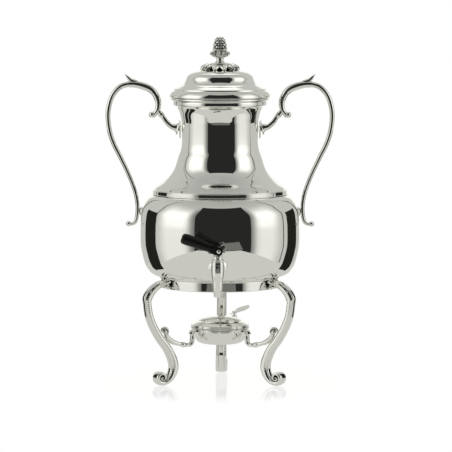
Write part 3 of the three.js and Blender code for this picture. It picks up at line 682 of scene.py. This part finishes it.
# ---------- lid and finial ----------
def lid():
    s = Span("lid")
    edge, top = s.out, s.high
    outer = [
        *round_corner((edge - 1, s.low + 1), 1, -90, 0, 5),
        Vector((edge, s.low + 1.2)),
        Vector((edge, s.low + 2.2)),
        *flow(
            [
                (edge - 0.1, s.low + 2.7),
                (edge - 1, s.low + 5),
                (edge - 2.7, s.low + 7.6),
                (edge - 5, s.low + 9.6),
            ],
            6,
        ),
        *flow([(edge - 5.4, s.low + 9.8), (edge - 5.9, s.low + 11.3), (edge - 7.6, s.low + 12.4)], 6),
        *flow(
            [
                (edge - 8, s.low + 12.4),
                (56, s.low + 13.9),
                (49, s.low + 17.6),
                (45.6, s.low + 22.4),
                (43.4, s.low + 28.2),
                (38.6, s.low + 32.4),
                (27, top - 6),
                (14, top - 1.6),
                (0, top),
            ],
            9,
        ),
    ]
    inner = beside(outer, -WALL)
    inner[-1] = Vector((0, top - WALL))
    rim = edge - 5.2  # the inner edge of the flat rim that rests on the neck
    under = [Vector((rim, s.low + 1.4)), *(p for p in inner if p.y > s.low + 7)]
    outline = [Vector((rim, s.low)), *outer, *reversed(under)]
    finished(spun(outline, NECK_STEPS), "lid_dome", SILVER, ["lid"])


def rosette():
    s = Span("lid_rosette")
    leaves = 12
    top = s.high
    path = flow(
        [
            (9, top - 0.6),
            (13, top - 0.9),
            (18, top - 2),
            (23, top - 4.4),
            (26, top - 6.6),
            (27.2, top - 6.2),
        ],
        6,
    )
    thick = between((0, 1), (0.5, 2.6), (0.85, 2.6), (1, 1.2))
    parts = []
    for i in range(leaves):
        leaf = bar(path, thick, leaf_width(5.9, 1, 0), leaf_section, 20)
        bmesh.ops.transform(leaf, matrix=round_the_axis((i + 0.5) * 360 / leaves), verts=leaf.verts)
        parts.append(leaf)
    hub = flow([(0, top + 0.2), (8, top + 0.2), (12, top - 0.7), (15, top - 2), (15.4, top - 2.6)], 5)
    parts.append(spun([*hub, Vector((0, top - 2.6))], 48))
    finished(joined(*parts), "lid_rosette_leaves", CAST, ["lid_rosette"], crease=50)


def calyx():
    """The ruffled cup under the pineapple: a turned cup pinched between its petals."""
    s = Span("finial_calyx")
    line = flow(
        [
            (0, s.low),
            (11.4, s.low),
            (10.6, s.low + 1.2),
            (7, s.low + 2.4),
            (5.2, s.low + 4.2),
            (4.9, s.low + 6.2),
            (6.4, s.low + 8.6),
            (10.6, s.low + 10.4),
            (s.out + 0.1, s.low + 12.8),
            (s.out - 0.6, s.low + 15.2),
            (10.6, s.low + 15.6),
            (9.4, s.high),
            (0, s.high),
        ],
        7,
    )
    bm = spun(line, NECK_STEPS)
    petals = 9
    core = 4  # the radius inside which the cup stays round
    for v in bm.verts:
        reach = v.co.xy.length
        if v.co.z < s.low + 7.4 or reach < core:
            continue
        angle = atan2(v.co.y, v.co.x)
        share = min(1, (reach - core) / 8)
        fold = abs(sin(angle * petals / 2))
        v.co.xy *= 1 - 0.26 * share * (1 - fold) ** 2 - 0.05 * share * sin(angle * petals * 3) ** 2
        v.co.z += share * (2 * fold - 1.4) + 0.5 * share * sin(angle * petals * 3)
    finished(bm, "finial_ruffle", CAST, ["finial_calyx"], crease=60)


def acorn():
    """The pineapple: a turned knob with staggered rows of scales raised on it."""
    s = Span("finial_acorn")
    high = s.high - s.low
    line = flow(
        [
            (0, s.low),
            (8.6, s.low),
            (s.out - 0.7, s.low + 1.6),
            (s.out - 0.9, s.low + high * 0.3),
            (s.out - 1.8, s.low + high * 0.55),
            (s.out - 3.6, s.low + high * 0.8),
            (3.4, s.high - 0.9),
            (0, s.high - 0.3),
        ],
        12,
    )
    bm = spun(line, 144)
    rows, scales = 6, 8
    for v in bm.verts:
        reach = v.co.xy.length
        share = (v.co.z - s.low) / high
        if reach < 1.2 or share < 0.06:
            continue
        row = share * rows
        angle = atan2(v.co.y, v.co.x) * scales / 2 + pi / 2 * (int(row) % 2)
        across, up = abs(cos(angle)), row % 1
        knob = min(1, 1.5 * max(0, sin(pi * up)) * across)
        v.co.xy *= 1 + (0.26 * knob - 0.2) * min(1, reach / 4)
    finished(bm, "finial_pineapple", CAST, ["finial_acorn"], crease=60)


# ---------- handles ----------
def handle(side):
    """A handle as one casting of grip, branch and thorn, with its leaf on the neck and pad on the belly."""
    word = "right" if side > 0 else "left"
    s = Span("handle_" + word)
    pad = Span("handle_leaf_" + word)
    foot = Span("handle_foot_" + word)
    out = s.out - 3.4  # the grip's middle line at its widest
    neck_z = (pad.low + pad.high) / 2
    belly_z = (foot.low + foot.high) / 2
    belly_r = foot.out - 0.9
    grip = flow(
        [
            (out - 59.5, neck_z + 17.2),
            (out - 62.4, neck_z + 20.4),
            (out - 66.3, neck_z + 27),
            (out - 66.6, neck_z + 38),
            (out - 60, neck_z + 50.4),
            (out - 46, neck_z + 57.6),
            (out - 31, neck_z + 60),
            (out - 17, neck_z + 56.4),
            (out - 6.6, neck_z + 45.6),
            (out - 1.2, neck_z + 30),
            (out, neck_z + 15),
            (out - 2.6, neck_z - 4),
            (out - 8, neck_z - 20),
            (out - 16.2, neck_z - 36.5),
            (out - 27, belly_z + 50.5),
            (belly_r + 6.6, belly_z + 27),
            (belly_r + 3.4, belly_z + 9),
            (belly_r + 3.9, belly_z - 5),
            (belly_r + 6, belly_z - 12.4),
            (belly_r + 10.4, belly_z - 16.4),
            (belly_r + 14.6, belly_z - 15.8),
        ],
        9,
    )
    thorn_at = 0.245
    past_thorn = thorn_at + 0.012
    thick = between(
        (0, 3.0),
        (0.03, 3.6),
        (0.1, 4.4),
        (0.18, 5.1),
        (thorn_at, 4.7),
        (past_thorn, 3.8),
        (0.5, 3.4),
        (0.8, 2.9),
        (0.97, 2.7),
        (1, 1.8),
    )
    wide = between(
        (0, 3.0),
        (0.04, 3.9),
        (0.12, 4.6),
        (thorn_at, 4.6),
        (past_thorn, 3.9),
        (0.5, 3.8),
        (0.8, 3.2),
        (0.97, 3.2),
        (1, 2.2),
    )

    def full(angle, t):
        return cos(angle) * (1 - 0.05 * sin(angle) ** 2), sin(angle) * 0.95

    branch = flow(
        [
            (out - 65.6, neck_z + 27.5),
            (out - 68.4, neck_z + 22.6),
            (out - 73.6, neck_z + 16.2),
            (out - 78.4, neck_z + 9.4),
            (out - 85.6, neck_z + 3.4),
            (out - 91.4, neck_z + 2),
            (pad.out + 0.4, neck_z + 1),
        ],
        8,
    )
    branch_thick = between((0, 1.4), (0.16, 3.4), (0.24, 4.1), (0.34, 3.1), (0.7, 3.6), (0.86, 4.6), (1, 9))
    branch_wide = between((0, 2), (0.16, 3.6), (0.24, 4.2), (0.34, 3.2), (0.7, 3.4), (0.9, 4.0), (1, 5.4))
    thorn = flow(
        [
            (out - 46, neck_z + 57.6),
            (out - 37, neck_z + 61.4),
            (out - 29.4, neck_z + 66),
            (out - 22.6, neck_z + 73.4),
        ],
        8,
    )
    thorn_thick = between((0, 3.6), (0.35, 4.2), (0.7, 2.5), (1, 0.3))
    thorn_wide = between((0, 3.8), (0.5, 3.2), (1, 0.3))
    parts = [
        bar(grip, thick, wide, full, 36),
        bar(branch, branch_thick, branch_wide),
        bar(thorn, thorn_thick, thorn_wide, around=20),
        bead((out - 58.4, 0, neck_z + 19.4), 4.2, (1, 1.1, 1)),
        bead((belly_r + 15.2, 0, belly_z - 16), 3.7, (1, 1.1, 1)),
        bead((out - 70.2, 0, neck_z + 20.8), 3.4, (1, 1.2, 1)),
    ]
    turn = Matrix.Scale(side, 4, (1, 0, 0))
    casting(parts, "handle_" + word, turn)

    patch = flow(
        [
            (pad.out - 0.2, pad.high),
            (pad.out - 1.1, neck_z + 5),
            (pad.out - 1.4, neck_z),
            (pad.out - 1.2, pad.low),
        ],
        8,
    )
    leaf = bar(patch, between((0, 1.2), (0.4, 2.6), (1, 0.9)), leaf_width(5.9, 4, 0.12), leaf_section, 20)
    casting([leaf], "handle_leaf_" + word, turn)

    bm = spun([*flow([(0, 3.2), (3.4, 2.9), (6, 1.4), (7, -1.2)], 5), Vector((0, -1.2))], 40)
    lay = Matrix.Translation((foot.out - 3.2, 0, belly_z)) @ Matrix.Rotation(radians(90), 4, "Y")
    finished(bm, "handle_foot_" + word + "_pad", CAST, ["handle_foot_" + word], turn @ lay)


# ---------- tap ----------
TAP_REACH = 8.7  # from the tap's own upright axis to the front of its body
TAP_AXIS = Vector((0, (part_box("tap_body")[0].y - AXIS_Y) / MM + TAP_REACH, 0))
AT_TAP = Matrix.Translation(TAP_AXIS)


def tap_barrel():
    body = Span("tap_body")
    outline = [
        Vector((0, body.high)),
        Vector((7.9, body.high)),
        *round_corner((7.9, body.high - 0.6), 0.6, 90, 0, 4),
        *flow(
            [
                (8.5, body.high - 3),
                (8.5, body.high - 12),
                (8.0, body.high - 18),
                (7.1, body.high - 24),
                (6.1, body.low + 10),
                (5.1, body.low + 2.6),
                (4.9, body.low + 0.5),
            ],
            8,
        ),
        Vector((4.5, body.low)),
        Vector((3.7, body.low)),
        Vector((3.4, body.low + 0.6)),
        Vector((3.4, body.low + 26)),
        Vector((0, body.low + 26)),
    ]
    finished(spun(outline, 64), "tap_barrel", SILVER, ["tap_body"], AT_TAP)


def tap_bonnet():
    bonnet = Span("tap_bonnet")
    base = Span("tap_body").high + 0.3
    rings = [
        Vector((0, base)),
        Vector((7.6, base)),
        *round_corner((7.3, base + 1.8), 1.3, -80, 80, 8),
        Vector((6.6, base + 3.4)),
        Vector((5.9, base + 4.2)),
        Vector((5.8, base + 5)),
        *round_corner((5.3, base + 6.7), 1.5, -70, 80, 8),
        Vector((4.6, bonnet.high)),
        Vector((0, bonnet.high)),
    ]
    finished(spun(rings, 64), "tap_bonnet_turned", SILVER, ["tap_bonnet"], AT_TAP)

    washer = Span("tap_thrust_washer")
    mid = (washer.low + washer.high) / 2
    hole = 2.6
    edge = round_corner((6, mid), 0.4, -90, 90, 4)
    disc = [Vector((hole, washer.high)), Vector((hole, washer.low)), *edge]
    finished(spun(disc, 48), "tap_thrust_disc", SILVER, ["tap_thrust_washer"], AT_TAP)


def tap_shank():
    """The tube through the belly and its escutcheon, turned lying along Y from the tap's axis."""
    tube = Span("tap_shank")
    middle = Matrix.Translation((0, TAP_AXIS.y, (tube.low + tube.high) / 2))
    lay = middle @ Matrix.Rotation(radians(-90), 4, "X")
    inner_end = 82  # its end inside the belly, from the urn's axis
    reach = -TAP_AXIS.y - inner_end
    shank = [
        Vector((0, 4)),
        Vector((5.8, 4)),
        *flow([(5.8, 10), (5.8, reach - 16), (5.9, reach - 8), (5.9, reach)], 4),
        Vector((0, reach)),
    ]
    finished(spun(shank, 48), "tap_shank_tube", SILVER, ["tap_shank"], lay)
    plate = (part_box("tap_escutcheon")[1].y - AXIS_Y) / MM - TAP_AXIS.y
    rose = [
        Vector((0, plate - 11.4)),
        Vector((6.4, plate - 11.4)),
        *flow(
            [
                (7.4, plate - 10.6),
                (8.6, plate - 8.4),
                (10.8, plate - 6.6),
                (13, plate - 5.4),
                (13.4, plate - 4.2),
            ],
            5,
        ),
        Vector((13.4, plate)),
        Vector((0, plate)),
    ]
    finished(spun(rose, 64), "tap_escutcheon_plate", SILVER, ["tap_escutcheon"], lay)


def outline_plate(corners, half):
    """A flat plate across Y with this outline in (x, z), its edges rounded by half a millimetre."""
    bm = bmesh.new()
    verts = [bm.verts.new((x, -half, z)) for x, z in corners]
    face = bm.faces.new(verts)
    made = bmesh.ops.extrude_face_region(bm, geom=[face])
    far = [v for v in made["geom"] if isinstance(v, bmesh.types.BMVert)]
    bmesh.ops.translate(bm, vec=(0, 2 * half, 0), verts=far)
    rims = [e for e in bm.edges if abs(e.verts[0].co.y - e.verts[1].co.y) < SAME_POINT]
    bmesh.ops.bevel(
        bm, geom=rims, offset=0.5, segments=3, profile=0.5, affect="EDGES", material=-1, clamp_overlap=True
    )
    return bm


def tap_yoke():
    low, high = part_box("tap_stem")
    base = Span("tap_thrust_washer").high + 0.3
    left, right, top = low.x / MM, high.x / MM, high.z / MM
    corners = [
        Vector((left + 1, base)),
        *round_corner((right - 4.5, base + 4.5), 4.5, -90, 0, 6),
        *round_corner((right - 2.6, top - 3.4), 2.6, 0, 70, 5),
        Vector((left + 6, base + 7.6)),
        Vector((left, base + 5)),
        Vector((left, base + 1)),
    ]
    plate = outline_plate(corners, 2.5)
    thick, upper, lower = 2.2, base + 1, base - 20
    stem = spun([Vector((0, upper)), Vector((thick, upper)), Vector((thick, lower)), Vector((0, lower))], 24)
    finished(joined(plate, stem), "tap_yoke_plate", SILVER, ["tap_stem"], AT_TAP, 30)


def lever_pin():
    """The middle of the pin that the lever tips on, and half its length."""
    low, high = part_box("tap_lever_pin")
    return ((low + high) / 2 - AXIS) / MM, (high.y - low.y) / 2 / MM


def tap_screw():
    pin, half = lever_pin()
    head = [
        Vector((0, half)),
        *flow([(1.4, half - 0.1), (2.4, half - 0.7), (2.5, half - 1.4)], 4),
        Vector((1.5, half - 1.5)),
        Vector((1.5, -half)),
        Vector((0, -half)),
    ]
    lay = Matrix.Translation(pin) @ Matrix.Rotation(radians(90), 4, "X")
    finished(spun(head, 32), "tap_lever_screw", SILVER, ["tap_lever_pin"], lay)


def tap_lever():
    """The black grip and its two cheeks, made lying out from the pin and then tipped up."""
    pin = lever_pin()[0]
    tilt = radians(19.5)  # above level, towards -X
    path = flow(
        [(6.5, 0.2), (10, 0.3), (18, 0.4), (30, 0.5), (42, 0.5), (48, 0.4), (50.2, 0.4), (51.2, 0.4)], 6
    )
    grip = bar(
        path,
        between((0, 4.6), (0.12, 5.8), (0.5, 6.6), (0.84, 7.3), (0.94, 6.9), (0.975, 5.8), (1, 4.0)),
        between((0, 5.6), (0.12, 6.2), (0.5, 6.6), (0.84, 7.2), (0.94, 6.8), (0.975, 5.7), (1, 4.0)),
        around=40,
    )
    cheeks = []
    for side in (-1, 1):
        outline = [
            *round_corner((0, 0), 5.3, 90, 270, 14),
            Vector((10, -5.4)),
            Vector((10, 5.7)),
        ]
        cheek = outline_plate(outline, 1.75)
        bmesh.ops.translate(cheek, vec=(0, side * 4.7, 0), verts=cheek.verts)
        cheeks.append(cheek)
    aim = Matrix(
        (
            (-cos(tilt), 0, sin(tilt), pin.x),
            (0, 1, 0, TAP_AXIS.y),
            (sin(tilt), 0, cos(tilt), pin.z),
            (0, 0, 0, 1),
        )
    )
    finished(joined(grip, *cheeks), "tap_lever_moulding", BLACK, ["tap_lever"], aim, 40)


# ---------- stand ----------
LEGS = {"back": 90, "left": 210, "right": 330}  # degrees round the axis from +X


def stand_ring():
    s = Span("stand_ring")
    outline = [
        *round_corner((s.out - 0.7, s.low + 0.7), 0.7, -90, 0, 4),
        Vector((s.out, s.low + 1)),
        Vector((s.out, s.high - 2)),
        Vector((s.out, s.high - 1.7)),
        Vector((s.out - 0.5, s.high - 1.4)),
        *round_corner((s.out - 0.6, s.high - 0.6), 0.6, -20, 90, 4),
        Vector((s.out - 1.8, s.high)),
        Vector((s.out - 2, s.high - 0.3)),
        Vector((s.out - 2, s.low)),
    ]
    finished(spun(outline, BELLY_STEPS), "stand_ring_band", SILVER, ["stand_ring"])


KNUCKLE = Vector((110.2, 112.6))
FOOT_CENTRE = Vector((89.6, 10.8))
RIDGE_STEP = 2.7  # from bead to bead along a leg


def leg_path():
    """The leg's middle line from the ring down to the foot, then once round the foot's volute."""
    down = flow(
        [
            (82, 136.5),
            (90.5, 134.8),
            (101.5, 128),
            (109.2, 117),
            (109, 107),
            (106.4, 92.5),
            (99.8, 77),
            (90, 61.2),
            (80.8, 50),
            (75.6, 41),
            (71.6, 31),
            (70.6, 22),
            (73.4, 13.6),
            (78.8, 7),
            (85.4, 3.5),
        ],
        14,
    )
    roll = volute(FOOT_CENTRE, -109, 475, 7.7, 2.1, 44)
    return down + roll[1:], len(down)


def leg(word):
    path, straight = leg_path()
    fine = flow(path[:straight], 3)
    path = fine + path[straight:]
    gone = distances(path)
    whole = gone[-1]
    knuckle = next(g for g, p in zip(gone, path) if p.y < 114) / whole
    foot = gone[len(fine)] / whole

    thick = between(
        (0, 3.2),
        (knuckle * 0.3, 4.4),
        (knuckle * 0.92, 5.6),
        (knuckle + 0.012, 4.4),
        (0.36, 4.7),
        (foot * 0.8, 5.7),
        (foot, 3.3),
        (foot + (1 - foot) * 0.6, 2.3),
        (1, 1.4),
    )
    wide = between(
        (0, 6.2), (knuckle * 0.5, 7), (knuckle, 6.6), (foot * 0.7, 7), (foot, 7.9), (0.93, 8.1), (1, 6.6)
    )
    groove_at, beads_at = 0.52, 0.74  # from 0 on the leg's middle line to 1 at its side

    def relief(angle, t):
        """The leg's squarish section, with a groove and a row of beads along each side above the foot."""
        across = abs(cos(angle)) ** 0.75 * (1 if cos(angle) > 0 else -1)
        side = abs(sin(angle)) ** 0.6 * (1 if sin(angle) > 0 else -1)
        if t > foot:
            return across * (1 + 0.12 * abs(side) ** 6), side
        far = abs(side)
        fade = min(1, t / 0.04) * min(1, (foot - t) / 0.07)
        groove = max(0, 1 - abs(far - groove_at) / 0.1)
        bead_row = max(0, 1 - abs(far - beads_at) / 0.15)
        wave = 0.5 + 0.5 * cos(2 * pi * t * whole / RIDGE_STEP)
        out = across * (1 + fade * (0.06 * bead_row * wave - 0.15 * groove + 0.05 * (1 - far)))
        return out, side * (1 + fade * 0.015 * wave * (abs(across) < 0.6))

    over = flow([(93, 135.6), (103, 130), (109.2, 122.6), (111.4, 117), (111.8, 112.8), (111.2, 110)], 8)
    curl = between((0, 0.8), (0.4, 1.7), (0.86, 1.6), (1, 1.2))
    parts = [
        bar(path, thick, wide, relief, 56),
        bead((KNUCKLE.x, 0, KNUCKLE.y), 2.6, (1, 2.2, 1.1)),
        bead((FOOT_CENTRE.x, 0, FOOT_CENTRE.y), 2.6, (1, 3.0, 1)),
        bar(over, curl, leaf_width(7.6, 4, 0.2), leaf_section, 24),
    ]
    casting(parts, "leg_" + word, round_the_axis(LEGS[word]), 55)


def ring_leaf(word):
    """The leaf and two scrolls that join a leg to the ring."""
    s = Span("stand_ring")
    out = s.out + 0.3
    back = flow(
        [
            (out + 1.2, s.low + 0.4),
            (out + 3, s.low + 3),
            (out + 3.6, s.low + 8),
            (out + 3.2, s.high),
            (out + 6, s.high + 4.6),
        ],
        7,
    )
    back_thick = between((0, 1.2), (0.5, 3.2), (0.85, 2.2), (1, 1.2))
    tip = flow(
        [
            (out + 5, s.high - 2),
            (out + 10, s.high + 3.4),
            (out + 12.4, s.high + 8.6),
            (out + 15.6, s.high + 9.2),
        ],
        7,
    )
    tip_thick = between((0, 2), (0.6, 1.7), (1, 0.9))
    parts = [
        bar(back, back_thick, leaf_width(9.4, 3, 0.2), leaf_section, 28),
        bar(tip, tip_thick, leaf_width(5.2, 2, 0.15), leaf_section, 20),
    ]
    aside, level = 7.2, s.high + 0.6  # the middle of each side scroll
    for side in (-1, 1):
        line = volute((side * aside, level), -150, 430, 4.4, 1.2, 30, -side)
        scroll = bar(line, between((0, 1.5), (1, 0.8)), between((0, 2.4), (1, 2.0)), around=12)
        lay = Matrix.Translation((out + 4.2, 0, 0)) @ Matrix.Rotation(radians(90), 4, "Z")
        bmesh.ops.transform(scroll, matrix=lay, verts=scroll.verts)
        eye = bead((out + 4.4, side * aside, level), 1.7)
        knob = bead((out + 3.4, side * 6.6, s.low + 3.6), 2.3, (1, 1, 1.3))
        parts += [scroll, eye, knob]
    casting(parts, "ring_leaf_" + word, round_the_axis(LEGS[word]))


def arm(word):
    """The arm from a leg's scroll down, in and up to the claw that holds the burner's ring."""
    s = Span("burner_ring")
    claw_out = s.out + 3.4
    path = flow(
        [
            (84.6, 74.6),
            (82.2, 70),
            (79.5, 63.5),
            (72, 57.2),
            (60, 53.2),
            (50, 51.4),
            (44.6, 52.2),
            (claw_out + 0.2, 56.2),
            (claw_out + 0.4, s.low - 2.5),
        ],
        12,
    )
    thick = between(
        (0, 2.2), (0.1, 3.2), (0.3, 3.6), (0.52, 2.7), (0.6, 3.7), (0.7, 2.6), (0.9, 3.2), (1, 2.2)
    )
    wide = between((0, 3.4), (0.2, 4.1), (0.52, 3.4), (0.6, 4.4), (0.7, 3.4), (0.9, 4.2), (1, 3.4))

    ridges = 26

    def ridged(angle, t):
        return cos(angle) * (1 + 0.06 * cos(2 * pi * t * ridges)), sin(angle)

    eye = Vector((84.2, 72.6))
    scroll = volute(eye, -70, 450, 5.2, 1.6, 34, -1)
    parts = [
        bar(path, thick, wide, ridged, 28),
        bar(scroll, between((0, 1.9), (1, 1.1)), between((0, 4.1), (1, 3.4)), around=16),
        bead((eye.x, 0, eye.y), 2, (1, 2.2, 1)),
    ]
    casting(parts, "arm_" + word, round_the_axis(LEGS[word]))


def claw(word):
    s = Span("burner_ring")
    path = flow(
        [
            (s.out + 4.6, s.low - 5),
            (s.out + 5.6, s.low - 1.6),
            (s.out + 4.4, s.low + 1.6),
            (s.out + 1.8, s.high - 0.8),
        ],
        8,
    )
    leaf = bar(path, between((0, 1.2), (0.4, 1.9), (1, 0.9)), leaf_width(6.6, 3, 0.3), leaf_section, 24)
    knobs = [bead((s.out + 2.9, side * 5, s.low + 0.6), 2.1) for side in (-1, 1)]
    casting([leaf, *knobs], "claw_" + word, round_the_axis(LEGS[word]))


# ---------- burner ----------
def burner_ring():
    s = Span("burner_ring")
    mid = (s.low + s.high) / 2
    outline = [
        Vector((s.out - 1.8, s.high)),
        Vector((s.out - 1.8, s.low)),
        *round_corner((s.out - 1, s.low + 1), 1, -90, 0, 5),
        Vector((s.out - 0.5, mid)),
        *round_corner((s.out - 1, s.high - 1), 1, 0, 90, 5),
    ]
    finished(spun(outline), "burner_ring_wire", SILVER, ["burner_ring"])


def burner_bowl():
    s = Span("burner_bowl")
    side = s.out - 2.8
    cup = flow(
        [
            (0, s.low),
            (side * 0.6, s.low + 0.2),
            (side * 0.84, s.low + 3.4),
            (side * 0.96, s.low + 11.5),
            (side, s.high - 1),
        ],
        12,
    )
    lip = [Vector((s.out - 0.4, s.high - 1)), Vector((s.out, s.high - 0.5)), Vector((s.out - 0.4, s.high))]
    inner = beside(cup, -1)
    inner[0].x = 0
    inner[-1].y = s.high
    finished(spun([*cup, *lip, *reversed(inner)]), "burner_cup", SILVER, ["burner_bowl"])


def burner_cover():
    s = Span("burner_cover")
    top = s.high
    outer = [
        *round_corner((s.out - 1, s.low + 0.9), 0.9, -90, 60, 6),
        Vector((s.out - 0.9, s.low + 2.1)),
        *round_corner((s.out - 0.9, s.low + 3), 0.8, -70, 80, 6),
        *flow(
            [
                (s.out - 1.6, s.low + 4),
                (s.out - 4, s.low + 5.1),
                (30.4, top - 1.3),
                (23.2, top - 0.15),
                (12.5, top),
            ],
            8,
        ),
    ]
    beaded_edge = 14  # the points of the rolled edge, which stays solid
    under = beside(outer[beaded_edge:], -1)
    outline = [Vector((s.out - 1.6, s.low)), *outer, *reversed(under)]
    finished(spun(outline), "burner_cover_dome", SILVER, ["burner_cover"])


def snuffer():
    s = Span("snuffer_lid")
    rise = s.high - s.low
    outer = [
        Vector((s.out - 0.9, s.low)),
        *round_corner((s.out - 0.5, s.low + 0.5), 0.5, -80, 70, 5),
        *flow(
            [
                (s.out - 0.5, s.low + 1),
                (s.out * 0.8, s.low + rise * 0.52),
                (s.out * 0.42, s.low + rise * 0.88),
                (0, s.high),
            ],
            10,
        ),
    ]
    inner = beside(outer, -0.8)
    inner[-1] = Vector((0, s.high - 0.8))
    finished(spun([*outer, *reversed(inner[4:])]), "snuffer_dome", SILVER, ["snuffer_lid"])


def thumb_leaf():
    """The snuffer's flat leaf, laid out from its pivot, and the rivet it swings on."""
    low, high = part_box("snuffer_pivot")
    pivot = Vector(((low.x + high.x) / 2, (low.y + high.y) / 2 - AXIS_Y)) / MM
    toward = degrees(atan2(pivot.y, pivot.x))
    s = Span("snuffer_handle")
    base = s.low + 1.9
    path = flow(
        [
            (-10.8, base + 0.4),
            (-4, base + 0.7),
            (4, base + 1.2),
            (12, base + 2.6),
            (24, base + 5.2),
            (35.2, base + 7.6),
        ],
        10,
    )
    strip, whole = 17, 46  # the plain strip's length, and the leaf's with it

    def tail(t):
        reach = t * whole
        if reach < strip:
            return 3.6 - 0.2 * sin(pi * reach / strip)
        share = (reach - strip) / (whole - strip)
        if share < 0.5:
            return 3.6 + 4.9 * sin(pi * share**0.85)
        return max(0.15, 8.4 * (1 - ((share - 0.45) / 0.55) ** 2.2))

    def thin(angle, t):
        return cos(angle) + 0.35 * abs(sin(angle)) ** 2, sin(angle)

    leaf = bar(path, between((0, 0.7), (0.3, 0.9), (1, 0.45)), tail, thin, 28)
    there = Matrix.Translation((pivot.x, pivot.y, 0))
    finished(leaf, "snuffer_thumb_leaf", SILVER, ["snuffer_handle"], there @ round_the_axis(toward), 50)

    p = Span("snuffer_pivot")
    post = [
        Vector((0, p.low + 0.2)),
        Vector((3.2, p.low + 0.2)),
        Vector((3.3, s.low - 0.6)),
        Vector((1.6, s.low - 0.5)),
        Vector((1.6, p.high - 2.2)),
        *flow([(3.4, p.high - 2.1), (3.2, p.high - 1), (2, p.high - 0.2), (0, p.high)], 5),
    ]
    finished(spun(post, 32), "snuffer_rivet", SILVER, ["snuffer_pivot"], there)


def wick():
    s = Span("wick")
    bm = spun(
        [
            Vector((0, s.low)),
            *round_corner((s.out - 0.6, s.low + 0.6), 0.6, -90, 0, 3),
            *round_corner((s.out - 1, s.high - 1), 1, 0, 90, 4),
            Vector((0, s.high - 0.1)),
        ],
        96,
    )
    strands = 24
    for v in bm.verts:
        v.co.xy *= 1 + 0.02 * cos(strands * atan2(v.co.y, v.co.x))
    finished(bm, "wick_braid", COTTON, ["wick"])


def hidden_works():
    """The pieces inside keep their CAD shape and get their own metals."""
    inside = {
        "wick_tube": BRASS,
        "lid_collar": SILVER,
        "finial_stud": STEEL,
        "finial_washer": SILVER,
        "finial_nut": BRASS,
        "tap_washer": RUBBER,
        "tap_lock_nut": BRASS,
        "tap_spring": STEEL,
        "tap_seat_cup": BRASS,
    }
    for name, metal in inside.items():
        nodes[name].data.materials.clear()
        nodes[name].data.materials.append(metal)


# ---------- the whole urn ----------
camera()
studio()
belly()
foot_rim()
shoulder_band()
neck()
mouth_rim()
lid()
rosette()
calyx()
acorn()
for side in (-1, 1):
    handle(side)
tap_barrel()
tap_bonnet()
tap_shank()
tap_yoke()
tap_screw()
tap_lever()
stand_ring()
for word in LEGS:
    leg(word)
    ring_leaf(word)
    arm(word)
    claw(word)
burner_ring()
burner_bowl()
burner_cover()
snuffer()
thumb_leaf()
wick()
hidden_works()
